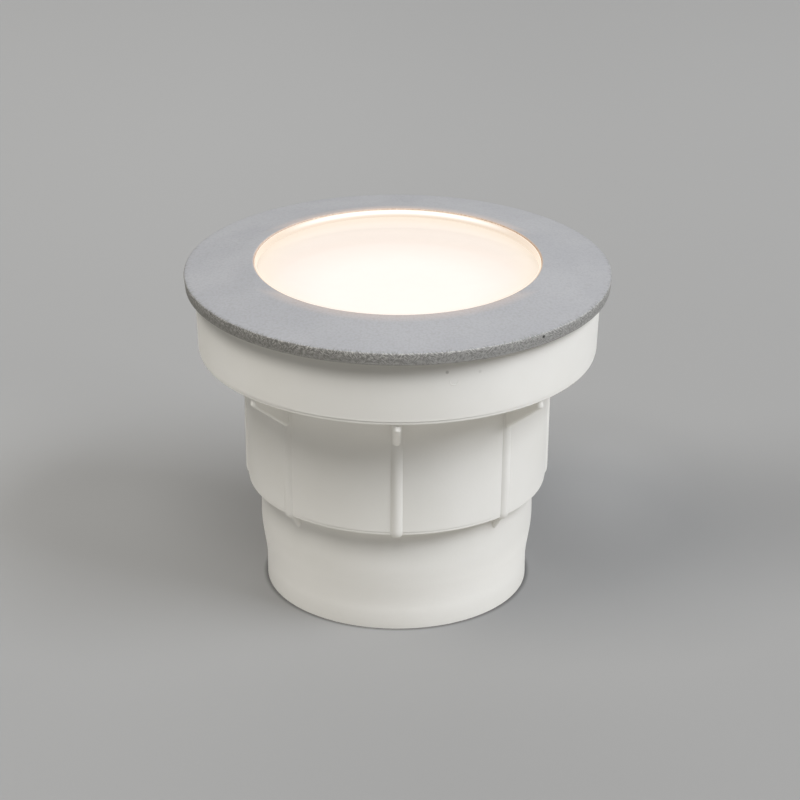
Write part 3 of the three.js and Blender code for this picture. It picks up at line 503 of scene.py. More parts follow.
class Finish:
    """A Principled material under construction, with the object's coordinates at hand."""

    def __init__(self, name, colour, roughness, metallic=0.0):
        self.material = bpy.data.materials.new(name)
        self.material.use_nodes = True
        self.tree = self.material.node_tree
        self.bsdf = self.tree.nodes["Principled BSDF"]
        self.bsdf.inputs["Base Color"].default_value = (*colour, 1)
        self.bsdf.inputs["Roughness"].default_value = roughness
        self.bsdf.inputs["Metallic"].default_value = metallic
        self.material.diffuse_color = (*colour, 1)
        self.where = self.tree.nodes.new("ShaderNodeTexCoord")
        self.colour = colour

    def link(self, output, socket):
        """Links two sockets of this material."""
        self.tree.links.new(output, socket)

    def group(self, tree, **values):
        """Places a shader group on the object's coordinates, with its values. Returns its outputs."""
        node = self.tree.nodes.new("ShaderNodeGroup")
        node.node_tree = tree
        self.link(self.where.outputs["Object"], node.inputs["Vector"])
        for label, value in values.items():
            node.inputs[label.replace("_", " ")].default_value = value
        return node.outputs

    def tint(self, mask, colour):
        """Mixes another colour into the base colour by a mask."""
        self.colour = colour_mix(self.tree, mask, self.colour, colour)
        self.link(self.colour, self.bsdf.inputs["Base Color"])

    def gloss(self, value, low, high):
        """Lets the roughness follow a noise between two limits."""
        self.link(ramp(self.tree, value, 0.3, 0.7, low, high), self.bsdf.inputs["Roughness"])

    def bump(self, height, depth, strength):
        """A bump from a height between 0 and 1, with its depth in millimetres."""
        node = self.tree.nodes.new("ShaderNodeBump")
        node.inputs["Strength"].default_value = strength
        node.inputs["Distance"].default_value = depth * MM
        self.link(height, node.inputs["Height"])
        previous = self.bsdf.inputs["Normal"].links
        if previous:
            self.link(previous[0].from_socket, node.inputs["Normal"])
        self.link(node.outputs["Normal"], self.bsdf.inputs["Normal"])

    def glow(self, value, at_zero, at_one, strength):
        """An emission that goes from one colour to another as a value rises from 0 to 1."""
        shine = colour_mix(self.tree, value, at_zero, at_one)
        self.link(shine, self.bsdf.inputs["Emission Color"])
        self.bsdf.inputs["Emission Strength"].default_value = strength

    def axis(self, output, letter):
        """One coordinate of the object's position or normal."""
        node = self.tree.nodes.new("ShaderNodeSeparateXYZ")
        self.link(self.where.outputs[output], node.inputs["Vector"])
        return node.outputs[letter]

    def both(self, first, second):
        """The product of two masks, or of a mask and a number."""
        return math_node(self.tree, "MULTIPLY", first, second)

    def between(self, letter, low, high, at_low=0.0, at_high=1.0):
        """A smooth step along one axis of the object, in millimetres."""
        return ramp(self.tree, self.axis("Object", letter), low * MM, high * MM, at_low, at_high)

    def facing(self, letter, low, high, at_low=0.0, at_high=1.0):
        """A smooth step by how far the surface faces along one axis, from -1 to 1."""
        return ramp(self.tree, self.axis("Normal", letter), low, high, at_low, at_high)

    def outward(self, low, high, at_low=0.0, at_high=1.0):
        """A smooth step of the distance from the light's axis, in millimetres."""
        flat = vector_node(self.tree, "MULTIPLY", self.where.outputs["Object"], (1, 1, 0))
        radius = vector_node(self.tree, "LENGTH", flat)
        return ramp(self.tree, radius, low * MM, high * MM, at_low, at_high)

    def spot(self, place, size):
        """A soft round mask about one point of the object, in millimetres."""
        centre = tuple(coordinate * MM for coordinate in place)
        gap = vector_node(self.tree, "DISTANCE", self.where.outputs["Object"], centre)
        return ramp(self.tree, gap, size * MM * 0.5, size * MM * 1.3, 1.0, 0.0)


def moulded_plastic(name, colour, shaded, roughness, bump_depth, cloud_scale=40.0, fine_scale=900.0):
    """A plain moulding: clouded colour, varied gloss and a very fine texture."""
    finish = Finish(name, colour, roughness)
    mottle = finish.group(MOTTLE, Cloud_Scale=cloud_scale, Fine_Scale=fine_scale)
    finish.tint(ramp(finish.tree, mottle["Cloud"], 0.35, 0.7), shaded)
    finish.gloss(mottle["Cloud"], roughness - 0.06, roughness + 0.08)
    finish.bump(mottle["Fine"], bump_depth, 0.35)
    return finish


# The specks on the collar: place and size in millimetres, and strength
COLLAR_SPECKS = [
    ((13.3, -55.4, 86.8), 0.5, 0.42),
    ((22.1, -52.5, 85.8), 0.5, 0.15),
]
# Colour of the painted shade on the collar's front and of the painted shadow under the bezel
SLEEVE_PAINTED_SHADE = (0.30, 0.29, 0.265)
# Colour and strength of the painted light over the neck, which makes it paler above the foot
SLEEVE_PAINTED_LIGHT = (0.99, 0.98, 0.955)
NECK_PAINTED_LIGHT = 0.66


def sleeve_white():
    """White moulding with fine specks, with painted shade that greys the collar's front, a painted shadow
    of the bezel on the collar's top and painted light that makes it paler over the foot.
    """
    finish = moulded_plastic("sleeve_white", (0.85, 0.84, 0.815), (0.82, 0.81, 0.78), 0.48, 0.05)
    specks = finish.group(SPECKS, Scale=75.0, Size=0.035, Rarity=0.75)
    finish.tint(specks["Mask"], (0.16, 0.14, 0.12))
    # Painted shade that greys the collar's front
    collar = finish.between("Z", 71.6, 74.0)
    front = finish.between("Y", -56.5, -46.0, 0.12, 0.0)
    finish.tint(finish.both(collar, front), SLEEVE_PAINTED_SHADE)
    # A painted shadow of the bezel on the collar's top, everywhere but on the right side
    bezel_painted_shadow = finish.between("Z", 83.2, 86.8, 0.0, 0.19)
    turned_left = finish.between("X", 5.0, 35.0, 1.0, 0.0)
    finish.tint(finish.both(bezel_painted_shadow, turned_left), SLEEVE_PAINTED_SHADE)
    # Painted light over the neck above the foot, which makes it paler
    above_foot = finish.between("Z", 4.0, 11.5, 0.20, NECK_PAINTED_LIGHT)
    below_wall = finish.between("Z", 13.8, 20.5, NECK_PAINTED_LIGHT, 0.0)
    finish.tint(math_node(finish.tree, "MINIMUM", above_foot, below_wall), SLEEVE_PAINTED_LIGHT)
    for place, size, share in COLLAR_SPECKS:
        finish.tint(finish.both(finish.spot(place, size), share), (0.10, 0.09, 0.075))
    return finish.material


EDGE_GREY = (0.255, 0.25, 0.242)
STROKE_GREY = (0.385, 0.38, 0.365)
# Darker grey of the grain's pits, also the painted shade on the left side of the edge
PIT_AND_SHADE_GREY = (0.13, 0.128, 0.12)
# Colour of the painted glints where the edge meets the top
GLINT_GREY = (0.55, 0.54, 0.52)
# Colour of the painted bounce light along the edge's lower rim
LOWER_BOUNCE_GREY = (0.36, 0.355, 0.34)
# Colour of the painted light on the right side of the edge
RIGHT_PAINTED_LIGHT_GREY = (0.36, 0.36, 0.365)
GAP_GREY = (0.15, 0.148, 0.14)
BEZEL_SPECK = (39.05, -45.26, 93.0)


def bezel_grey():
    """Grey moulding, pitted on its top, with strokes along its edge, painted glints where the edge meets
    the top, painted bounce light on its lower rim, painted shade on its left side, painted light on its
    right side and a painted warm glow at the opening.
    """
    finish = moulded_plastic("bezel_grey", (0.282, 0.285, 0.300), (0.270, 0.274, 0.290), 0.6, 0.03, 55.0)
    tree, both = finish.tree, finish.both
    grain = finish.group(GRAIN, Scale=1500.0, Distortion=0.7)["Height"]
    strokes = finish.group(STROKES)["Strokes"]
    pits = ramp(tree, grain, 0.25, 0.85)
    side = finish.facing("Z", 0.35, 0.9, 1.0, 0.0)
    # A band near the top of the edge and the strokes in it that get painted glints
    glint_band = finish.between("Z", 91.8, 93.4, 0.0, 0.8)
    glints = ramp(tree, strokes, 0.55, 0.9)
    finish.tint(both(pits, 0.25), (0.19, 0.185, 0.18))
    finish.tint(side, EDGE_GREY)
    for mask, colour in (
        (both(strokes, 0.8), STROKE_GREY),
        (both(pits, 0.6), PIT_AND_SHADE_GREY),
        # painted glints where the edge meets the top
        (both(glint_band, glints), GLINT_GREY),
        # painted bounce light along the edge's lower rim
        (finish.between("Z", 90.9, 91.2, 0.6, 0.0), LOWER_BOUNCE_GREY),
        # painted shade on the left side of the edge
        (finish.facing("X", -0.9, -0.1, 0.28, 0.0), PIT_AND_SHADE_GREY),
        # painted light on the right side of the edge
        (finish.facing("X", -0.6, 0.5, 0.0, 0.42), RIGHT_PAINTED_LIGHT_GREY),
    ):
        finish.tint(both(side, mask), colour)
    gaps = ramp(tree, strokes, 0.1, 0.45, 0.5, 0.0)
    finish.tint(both(finish.outward(58.5, 59.6), gaps), GAP_GREY)
    finish.tint(finish.spot(BEZEL_SPECK, 0.45), (0.03, 0.03, 0.03))
    finish.bump(grain, 0.08, 0.4)
    finish.bump(both(side, strokes), 0.06, 0.5)
    # A painted warm glow of the lamp on the opening's rim, with a fading painted halo on the top in front
    # and behind
    lip = finish.outward(40.3, 40.8)
    halo = finish.outward(40.5, 45.0, 0.6, 1.0)
    depth = math_node(tree, "ABSOLUTE", finish.axis("Object", "Y"))
    beside = ramp(tree, depth, 20 * MM, 36 * MM, 1.0, 0.0)
    painted_glow_fade = both(lip, math_node(tree, "MAXIMUM", halo, beside))
    finish.glow(painted_glow_fade, (1.0, 0.48, 0.16), (0.0, 0.0, 0.0), 0.28)
    finish.bsdf.inputs["Specular IOR Level"].default_value = 0.25
    return finish.material


def frosted_glass():
    """Frosted glass that glows evenly. Its flat faces let the lamp's disc show through."""
    finish = Finish("frosted_glass", (0.10, 0.095, 0.085), 0.45)
    mottle = finish.group(MOTTLE, Cloud_Scale=120.0, Fine_Scale=1400.0)
    flat = ramp(finish.tree, math_node(finish.tree, "ABSOLUTE", finish.axis("Normal", "Z")), 0.3, 0.8)
    veil = ramp(finish.tree, mottle["Cloud"], 0.3, 0.7, 0.74, 0.76)
    solid = math_node(finish.tree, "SUBTRACT", 1.0, flat)
    finish.link(math_node(finish.tree, "MAXIMUM", solid, veil), finish.bsdf.inputs["Alpha"])
    finish.glow(finish.outward(30.0, 41.0), (0.745, 0.652, 0.595), (0.775, 0.667, 0.555), 1.0)
    finish.bump(mottle["Fine"], 0.03, 0.3)
    return finish.material


def opal():
    """The lamp's lit cover, brightest over its middle."""
    finish = Finish("opal", (0.30, 0.29, 0.27), 0.4)
    mottle = finish.group(MOTTLE, Cloud_Scale=90.0, Fine_Scale=800.0)
    finish.glow(finish.outward(18.0, 37.0), (0.98, 0.975, 1.03), (0.40, 0.36, 0.31), 2.0)
    finish.bump(mottle["Fine"], 0.02, 0.3)
    return finish.material


def gasket_silicone():
    """Clear silicone that carries the light up, brightest at its top where it faces the front, a painted
    highlight.
    """
    finish = Finish("clear_silicone", (0.20, 0.18, 0.155), 0.35)
    mottle = finish.group(MOTTLE, Cloud_Scale=200.0, Fine_Scale=1500.0)
    # A painted highlight on the gasket's top where it faces the front
    front_highlight = finish.both(finish.between("Z", 95.0, 96.2), finish.facing("Y", -0.95, -0.5, 1.0, 0.0))
    finish.glow(front_highlight, (0.84, 0.70, 0.57), (1.2, 1.18, 1.15), 0.8)
    finish.bump(mottle["Fine"], 0.02, 0.3)
    return finish.material


def white_gloss(name, roughness):
    """White gloss moulding of the pieces inside the light."""
    return moulded_plastic(name, (0.80, 0.78, 0.73), (0.77, 0.75, 0.70), roughness, 0.02)


def lit_reflector():
    """The reflector's white, with the lamp's warm light on it."""
    finish = white_gloss("lit_reflector", 0.3)
    finish.bsdf.inputs["Emission Color"].default_value = (0.36, 0.25, 0.16, 1)
    finish.bsdf.inputs["Emission Strength"].default_value = 1.0
    return finish.material


def steel():
    """Stainless steel with a fine uneven gloss."""
    finish = Finish("stainless", (0.56, 0.57, 0.58), 0.3, 1.0)
    mottle = finish.group(MOTTLE, Cloud_Scale=150.0, Fine_Scale=2500.0)
    finish.gloss(mottle["Fine"], 0.22, 0.42)
    finish.tint(ramp(finish.tree, mottle["Cloud"], 0.4, 0.7), (0.48, 0.49, 0.50))
    finish.bump(mottle["Fine"], 0.01, 0.4)
    return finish.material


def brass_metal():
    """Brass with duller patches."""
    finish = Finish("brass", (0.62, 0.44, 0.19), 0.32, 1.0)
    mottle = finish.group(MOTTLE, Cloud_Scale=260.0, Fine_Scale=2200.0)
    finish.tint(ramp(finish.tree, mottle["Cloud"], 0.4, 0.75), (0.45, 0.30, 0.13))
    finish.gloss(mottle["Fine"], 0.24, 0.45)
    return finish.material


def rubber():
    """Black rubber of the seals."""
    shaded = (0.03, 0.03, 0.03)
    return moulded_plastic("seal_rubber", (0.016, 0.016, 0.017), shaded, 0.75, 0.04, 120.0).material


def dark_moulding(name, colour):
    """A dark moulding with a leather-like grain."""
    lighter = tuple(c * 1.25 for c in colour)
    finish = moulded_plastic(name, colour, lighter, 0.5, 0.06, 60.0, 700.0)
    grain = finish.group(GRAIN, Scale=1100.0, Distortion=0.4)
    finish.bump(grain["Height"], 0.05, 0.3)
    return finish.material


def circuit_board(name, colour, darker):
    """The smooth face of a circuit board."""
    return moulded_plastic(name, colour, darker, 0.4, 0.02, 300.0).material


def insulation(name, colour):
    """The coloured covering of a lead."""
    darker = tuple(c * 0.8 for c in colour)
    return moulded_plastic(name, colour, darker, 0.45, 0.02, 200.0).material


MATERIALS = {
    "sleeve_white": sleeve_white(),
    "bezel_grey": bezel_grey(),
    "frosted_glass": frosted_glass(),
    "opal": opal(),
    "housing_dark": dark_moulding("housing_dark", (0.045, 0.047, 0.05)),
    "inner_white": white_gloss("inner_white", 0.35).material,
    "lamp_white": moulded_plastic("lamp_white", (0.78, 0.77, 0.74), (0.74, 0.73, 0.70), 0.4, 0.03).material,
    "clear_silicone": gasket_silicone(),
    "seal_rubber": rubber(),
    "stainless": steel(),
    "brass": brass_metal(),
    "board_aluminium": circuit_board("board_aluminium", (0.72, 0.73, 0.74), (0.66, 0.67, 0.68)),
    "board_green": circuit_board("board_green", (0.03, 0.11, 0.05), (0.02, 0.08, 0.035)),
    "lead_brown": insulation("lead_brown", (0.14, 0.065, 0.03)),
    "lead_blue": insulation("lead_blue", (0.035, 0.13, 0.38)),
    "gland_dark": dark_moulding("gland_dark", (0.04, 0.042, 0.045)),
}
LIT_REFLECTOR = lit_reflector()


def settle(piece, body, slot, node, material=None):
    """Gives a finished piece the material of its slot, sets it on its body and hides what it stands for."""
    piece.data.materials.clear()
    piece.data.materials.append(material or MATERIALS[slot])
    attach(piece, body)
    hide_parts(node)


# Sleeve

def lined_edge(radius, bottom, depth):
    """A section's lower edge: a small round and a fine step a millimetre above it."""
    band = radius - depth
    line = [(0.5, 1), (0.86, 1), (0.90, 1), (1.02, 0), (1.06, 0), (1.4, 0)]
    return [
        *arc(band - SLEEVE_ROUND, bottom + SLEEVE_ROUND, SLEEVE_ROUND, -90, 0),
        *[(radius - depth * share, bottom + rise) for rise, share in line],
    ]


def sleeve_shell():
    """The sleeve's stepped wall, up the outside and down the inside."""
    wall = MIDDLE_RADIUS + MIDDLE_DRAFT
    brim = COLLAR_RADIUS + COLLAR_DRAFT
    tip = SLEEVE_TIP
    profile = [
        *arc(FOOT_RADIUS - FOOT_ROUND, FOOT_ROUND, FOOT_ROUND, -90, 0, 3),
        *neck(0),
        *arc(LOWER_RADIUS + SLEEVE_FILLET, LOWER_HEIGHT - SLEEVE_FILLET, SLEEVE_FILLET, 180, 90),
        *lined_edge(MIDDLE_RADIUS, LOWER_HEIGHT, STEP_LINE_DEPTH),
        *arc(wall + SLEEVE_FILLET, SHELF_UNDERSIDE - SLEEVE_FILLET, SLEEVE_FILLET, 180, 90),
        *lined_edge(COLLAR_RADIUS, SHELF_UNDERSIDE, COLLAR_LINE_DEPTH),
        *arc(brim - tip, RIM_HEIGHT - tip, tip, 0, 90, 4),
        *arc(brim - SLEEVE_WALL + tip, RIM_HEIGHT - tip, tip, 90, 180, 4),
        *arc(COLLAR_RADIUS - SLEEVE_WALL - tip, SHELF_TOP + tip, tip, 0, -90, 4),
        *arc(wall - SLEEVE_WALL + tip, SHELF_TOP - tip, tip, 90, 180, 4),
        *arc(MIDDLE_RADIUS - SLEEVE_WALL - tip, LOWER_HEIGHT + SLEEVE_WALL + tip, tip, 0, -90, 4),
        *arc(LOWER_RADIUS - SLEEVE_WALL + tip, LOWER_HEIGHT + SLEEVE_WALL - tip, tip, 90, 180, 4),
        *reversed(neck(SLEEVE_WALL)),
        *arc(FOOT_RADIUS - SLEEVE_WALL + tip, tip, tip, 180, 270, 4),
    ]
    return make_object("sleeve_shell", *lathe(profile))


def rib(sides=20):
    """A rounded bead whose foot runs out into the wall and whose lower end is domed."""
    top = SHELF_UNDERSIDE - RIB_TOP_GAP
    low = LOWER_HEIGHT - RIB_FOOT
    shoulder = low + RIB_DOME
    heights = [shoulder - RIB_DOME * math.cos(math.pi / 2 * i / 8) for i in range(9)]
    heights += [shoulder + (top - shoulder) * i / 6 for i in range(1, 7)]
    rows = []
    for height in heights:
        rise = min(1, (height - low) / RIB_DOME)
        end = math.sqrt(max(0.0, 1 - (1 - rise) ** 2))
        lean = MIDDLE_DRAFT * (height - LOWER_HEIGHT) / (SHELF_UNDERSIDE - LOWER_HEIGHT)
        wall = MIDDLE_RADIUS + lean
        proud = (RIB_HEIGHT + RIB_SINK) * (0.25 + 0.75 * end) * min(1.0, end * 3 + 0.05)
        reach = (RIB_HALF_WIDTH + RIB_FLARE) * (0.45 + 0.55 * end)
        row = []
        for i in range(sides + 1):
            across = -1 + 2 * i / sides
            crown = math.cos(across * math.pi / 2) ** RIB_CROWN if abs(across) < 1 else 0.0
            row.append((wall + proud * crown - RIB_SINK, reach * across, height))
        rows.append([*row, (wall - 1.0, 0.0, height)])
    return stacked("rib", rows)


def fin(name, edge, inner):
    """A radial fin with a round outer edge, from (radius, height, width share) up that edge."""
    columns = [math.sin(math.radians(angle)) for angle in range(-90, 91, 15)]
    rows = []
    for radius, height, share in edge:
        half = WEB_THICKNESS / 2 * share
        row = []
        for across in columns:
            drop = half * (1 - math.sqrt(max(0.0, 1 - across * across)))
            row.append((radius - drop, half * across, height))
        rows.append([*row, (inner, half, height), (inner, -half, height)])
    return stacked(name, rows)


# A fin's width along its sloped edge: (share of the edge, share of the width)
FIN_FOOT = [(0, 0.35), (0.03, 0.62), (0.07, 0.82), (0.12, 0.95), (0.18, 1), (1, 1)]


def slope(start, end, foot, top):
    """Points up a fin's sloped edge, with a rounded foot."""
    return [(start + (end - start) * t, foot + (top - foot) * t, width) for t, width in FIN_FOOT]


def collar_gusset():
    """The gusset that carries a rib out to the collar."""
    wall = MIDDLE_RADIUS + MIDDLE_DRAFT
    foot, toe = SHELF_UNDERSIDE - GUSSET_DROP, SHELF_UNDERSIDE - GUSSET_TOE
    return fin("collar_gusset", [
        *slope(wall + 0.1, GUSSET_END, foot, toe),
        (GUSSET_END + 0.1, toe + 0.25, 1),
        (GUSSET_END - 0.35, SHELF_UNDERSIDE + 0.2, 1),
        (GUSSET_END - 0.35, SHELF_UNDERSIDE + 1, 1),
    ], wall - WEB_ROOT)


def step_gusset():
    """The small gusset under the middle wall's step."""
    foot, toe = LOWER_HEIGHT - STEP_GUSSET_DROP, LOWER_HEIGHT - 0.3
    return fin("step_gusset", [
        *slope(LOWER_RADIUS + 0.1, STEP_GUSSET_END, foot, toe),
        (STEP_GUSSET_END, LOWER_HEIGHT + 1, 1),
    ], LOWER_RADIUS - WEB_ROOT)


def shelf_key():
    """A key on the inner shelf, against the collar's wall."""
    depth, width, height = KEY_SIZE
    outer = COLLAR_RADIUS - SLEEVE_WALL
    half = math.degrees(width / 2 / outer)
    outline = sector(outer - depth, outer + 1, -half, half, 6)
    return bevelled(prism("shelf_key", outline, SHELF_TOP - 1, SHELF_TOP + height), KEY_BEVEL)


def gate_mark(turns=28, sides=8):
    """The faint ring of the moulding gate, bent to the collar and sunk into it."""
    rise = (GATE_HEIGHT - SHELF_UNDERSIDE) / (RIM_HEIGHT - SHELF_UNDERSIDE)
    radius = COLLAR_RADIUS + COLLAR_DRAFT * rise
    c, s = math.cos(GATE_AZIMUTH), math.sin(GATE_AZIMUTH)
    vertices, faces = [], []
    for i in range(turns):
        a = FULL_TURN * i / turns
        for k in range(sides):
            b = FULL_TURN * k / sides
            across = GATE_RING + GATE_SECTION * math.cos(b)
            x = across * math.cos(a)
            out = radius - GATE_SECTION + GATE_PROUD + GATE_SECTION * math.sin(b) - x * x / (2 * radius)
            vertices.append((out * c - x * s, out * s + x * c, GATE_HEIGHT + across * math.sin(a)))
            j, m = (i + 1) % turns, (k + 1) % sides
            faces.append((i * sides + k, i * sides + m, j * sides + m, j * sides + k))
    return make_object("gate_mark", vertices, faces)


def make_sleeve():
    """The whole sleeve as one moulding."""
    white = MATERIALS["sleeve_white"]
    ribs = joined("ribs", rib(), collar_gusset())
    moulding = joined(
        "moulded_sleeve",
        sleeve_shell(),
        round_axis(ribs, RIB_COUNT, RIB_START, white),
        round_axis(step_gusset(), STEP_GUSSET_COUNT, STEP_GUSSET_START, white),
        round_axis(shelf_key(), KEY_COUNT, RIB_START, white),
        gate_mark(),
    )
    settle(shade(moulding), "sleeve", "sleeve_white", "recess_sleeve")


# Bezel, lens and gasket

GRAIN_STEP = 0.5


def bezel_profile():
    """The ring's section: up the outside and over the top in small steps, then down inside."""
    shoulder = BEZEL_RADIUS - BEZEL_SHOULDER
    bottom = BEZEL_RADIUS - BEZEL_DRAFT - BEZEL_ROUND
    lip_inner = COLLAR_RADIUS + COLLAR_DRAFT + LIP_CLEARANCE
    seal_inner, seal_outer = SEAL_RADIUS - SEAL_HALF_WIDTH, SEAL_RADIUS + SEAL_HALF_WIDTH
    outside = [
        *arc(bottom, BEZEL_LIP + BEZEL_ROUND, BEZEL_ROUND, -90, 0, 4),
        *arc(shoulder, BEZEL_EDGE_TOP, BEZEL_SHOULDER, 0, 80, 5),
        *arc(OPENING_RADIUS + LIP_ROUND, BEZEL_TOP - LIP_ROUND, LIP_ROUND, 90, 180, 4),
        (OPENING_RADIUS, LIP_UNDERSIDE),
    ]
    inside = [
        (POCKET_RADIUS, LIP_UNDERSIDE),
        (POCKET_RADIUS, LENS_BOTTOM),
        (SKIRT_INNER, LENS_BOTTOM),
        (SKIRT_INNER, SKIRT_BOTTOM),
        (SKIRT_RADIUS, SKIRT_BOTTOM),
        (SKIRT_RADIUS, BEZEL_SEAT),
        (seal_inner, BEZEL_SEAT),
        (seal_inner, BEZEL_SEAT + SEAL_DEPTH),
        (seal_outer, BEZEL_SEAT + SEAL_DEPTH),
        (seal_outer, BEZEL_SEAT),
        (lip_inner, BEZEL_SEAT),
        (lip_inner, BEZEL_LIP),
    ]
    return spaced(outside, GRAIN_STEP) + inside


def grain_height(point):
    """The moulded grain's height at a point in millimetres, about -1 to 1."""
    bent = point + 0.35 * noise.noise_vector(point * 0.9)
    ridges = noise.voronoi(bent * 0.75)[0]
    return 0.7 * (ridges[1] - ridges[0] - 0.35) + 0.5 * noise.noise(point * 1.9)


# The grain's depth on the top and on the edge, and where the edge begins, in millimetres
TOP_GRAIN = 0.02
EDGE_GRAIN = 0.09
EDGE_WEAR = 0.05
EDGE_STARTS = 56.5
EDGE_BLEND = 2.5
GRAIN_SEED = 1


def roughen(vertices):
    """Moves the outer points of the bezel in or out by the grain, more on its edge than on its top."""
    noise.seed_set(GRAIN_SEED)
    moved = []
    for x, y, z in vertices:
        radius = math.hypot(x, y)
        on_top = z > BEZEL_EDGE_TOP + 1 and radius > OPENING_RADIUS + LIP_ROUND
        on_edge = z > BEZEL_LIP + 0.2 and radius > BEZEL_RADIUS - BEZEL_SHOULDER - 0.3
        if not (on_top or on_edge):
            moved.append((x, y, z))
            continue
        side = min(1.0, max(0.0, (radius - EDGE_STARTS) / EDGE_BLEND))
        depth = TOP_GRAIN + (EDGE_GRAIN - TOP_GRAIN) * side
        out = depth * grain_height(Vector((x, y, z))) - EDGE_WEAR * side
        outward = side if on_edge else 0.0
        scale = 1 + out * outward / radius
        moved.append((x * scale, y * scale, min(BEZEL_TOP, z + out * (1 - 0.6 * outward))))
    return moved


def make_bezel():
    """The ring with its roughened outside, and the bayonet lugs on its skirt."""
    vertices, faces = lathe(bezel_profile(), BEZEL_SEGMENTS)
    ring = make_object("grained_bezel", roughen(vertices), faces)
    outline = sector(SKIRT_RADIUS - LUG_ROOT, SKIRT_RADIUS + LUG_DEPTH, -LUG_SPAN / 2, LUG_SPAN / 2)
    lug = bevelled(prism("lug", outline, SKIRT_BOTTOM, SKIRT_BOTTOM + LUG_HEIGHT), LUG_BEVEL)
    lugs = round_axis(lug, LUG_COUNT, LUG_START, MATERIALS["bezel_grey"])
    bezel = shade(joined("grained_bezel", ring, lugs), GRAIN_SMOOTH_ANGLE)
    settle(bezel, "bezel", "bezel_grey", "bezel_ring")


def make_lens():
    """The flat frosted disc in the bezel's pocket."""
    edge = LENS_ROUND
    disc = make_object("frosted_lens", *lathe([
        (0, LENS_BOTTOM),
        *arc(LENS_RADIUS - edge, LENS_BOTTOM + edge, edge, -90, 0, 4),
        *arc(LENS_RADIUS - edge, LENS_TOP - edge, edge, 0, 90, 4),
        (0, LENS_TOP),
    ]))
    settle(shade(disc), "bezel", "frosted_glass", "lens")


def make_gasket():
    """The gasket: a flange over the lens and a thin upright wall that lines the opening."""
    outer = OPENING_RADIUS - GASKET_GAP
    half = GASKET_WALL / 2
    ring = make_object("glowing_gasket", *lathe([
        (GASKET_INNER, GASKET_BOTTOM),
        (LENS_RADIUS, GASKET_BOTTOM),
        (LENS_RADIUS, GASKET_FLANGE_TOP),
        (outer, GASKET_FLANGE_TOP),
        *arc(outer - half, GASKET_TOP - half, half, 0, 180),
    ]))
    settle(shade(ring), "bezel", "clear_silicone", "lens_gasket")


# Lamp cover and reflector

def make_lamp_cover():
    """The lamp's opal cover, a shallow cup upside down."""
    inner, small = COVER_RADIUS - COVER_WALL, COVER_ROUND - COVER_WALL
    cover = make_object("opal_cover", *lathe([
        (0, LAMP_TOP - COVER_WALL),
        *arc(inner - small, LAMP_TOP - COVER_ROUND, small, 90, 0),
        (inner, COVER_SEAT),
        (COVER_RADIUS, COVER_SEAT),
        *arc(COVER_RADIUS - COVER_ROUND, LAMP_TOP - COVER_ROUND, COVER_ROUND, 0, 90, 10),
        (0, LAMP_TOP),
    ]))
    settle(shade(cover), "lamp", "opal", "lamp_cover")


def make_reflector():
    """The cone round the lamp, between its upright outer wall and its brim."""
    inner, outer, wall = REFLECTOR_INNER, REFLECTOR_OUTER, REFLECTOR_WALL
    cone = make_object("reflector_cone", *lathe([
        (outer - wall, REFLECTOR_FOOT),
        (outer, REFLECTOR_FOOT),
        (outer, REFLECTOR_TOP),
        (outer - wall, REFLECTOR_TOP),
        (inner, REFLECTOR_BRIM + wall),
        (inner, REFLECTOR_BRIM),
        (inner + wall, REFLECTOR_BRIM),
        (outer - wall, REFLECTOR_TOP - 2 * wall),
    ]))
    settle(shade(cone), "luminaire", "inner_white", "reflector", material=LIT_REFLECTOR)


# Pieces kept from the frame, with their edges eased

# Pieces whose circles are made rounder, and from which radius in metres
ROUNDED = {"lamp_housing": 0.035}
CIRCLE_MATCH = 2e-5
CIRCLE_LONGEST_SPAN = 0.35
MERGE_DISTANCE = 1e-6
FLAT_ANGLE = math.radians(1)
EDGE_EASE = 0.15


def rounded(edit, smallest):
    """Cuts the sides of the circles about the Z axis in three, and moves the cuts out to the circle."""
    reach = edit.verts.layers.float.new("reach")
    for vertex in edit.verts:
        vertex[reach] = vertex.co.xy.length
    sides = []
    for edge in edit.edges:
        first, second = edge.verts
        level = abs(first.co.z - second.co.z) < CIRCLE_MATCH
        alike = abs(first[reach] - second[reach]) < CIRCLE_MATCH
        short = edge.calc_length() < first[reach] * CIRCLE_LONGEST_SPAN
        if level and alike and short and first[reach] > smallest:
            sides.append(edge)
    cut = bmesh.ops.subdivide_edges(edit, edges=sides, cuts=2)
    for item in cut["geom_inner"]:
        if isinstance(item, bmesh.types.BMVert):
            item.co.xy = item.co.xy * (item[reach] / item.co.xy.length)
    edit.verts.layers.float.remove(reach)


def refine(node, body, slot):
    """A copy of a CAD piece with merged points, flat faces cleaned and its edges eased."""
    thing = placed(node + "_eased", nodes[node].data.copy())
    edit = bmesh.new()
    edit.from_mesh(thing.data)
    bmesh.ops.remove_doubles(edit, verts=edit.verts, dist=MERGE_DISTANCE)
    bmesh.ops.dissolve_limit(edit, angle_limit=FLAT_ANGLE, verts=edit.verts, edges=edit.edges)
    if node in ROUNDED:
        rounded(edit, ROUNDED[node])
    edit.to_mesh(thing.data)
    edit.free()
    settle(shade(bevelled(thing, EDGE_EASE)), body, slot, node)


REBUILT = {"recess_sleeve", "bezel_ring", "lens", "lens_gasket", "lamp_cover", "reflector"}


def make_inner_pieces():
    """Every piece that isn't rebuilt above, from its CAD mesh."""
    bodies = frame["record"]["behaviour"]["bodies"]
    for part in frame["record"]["subparts"]:
        node = part["node"]
        if node not in REBUILT:
            body = next(name for name, members in bodies.items() if node in members)
            refine(node, body, part["material_slot"])


# Stage, lights and camera

FLOOR_GREY = 0.328
FLOOR_SIZE = 4.0
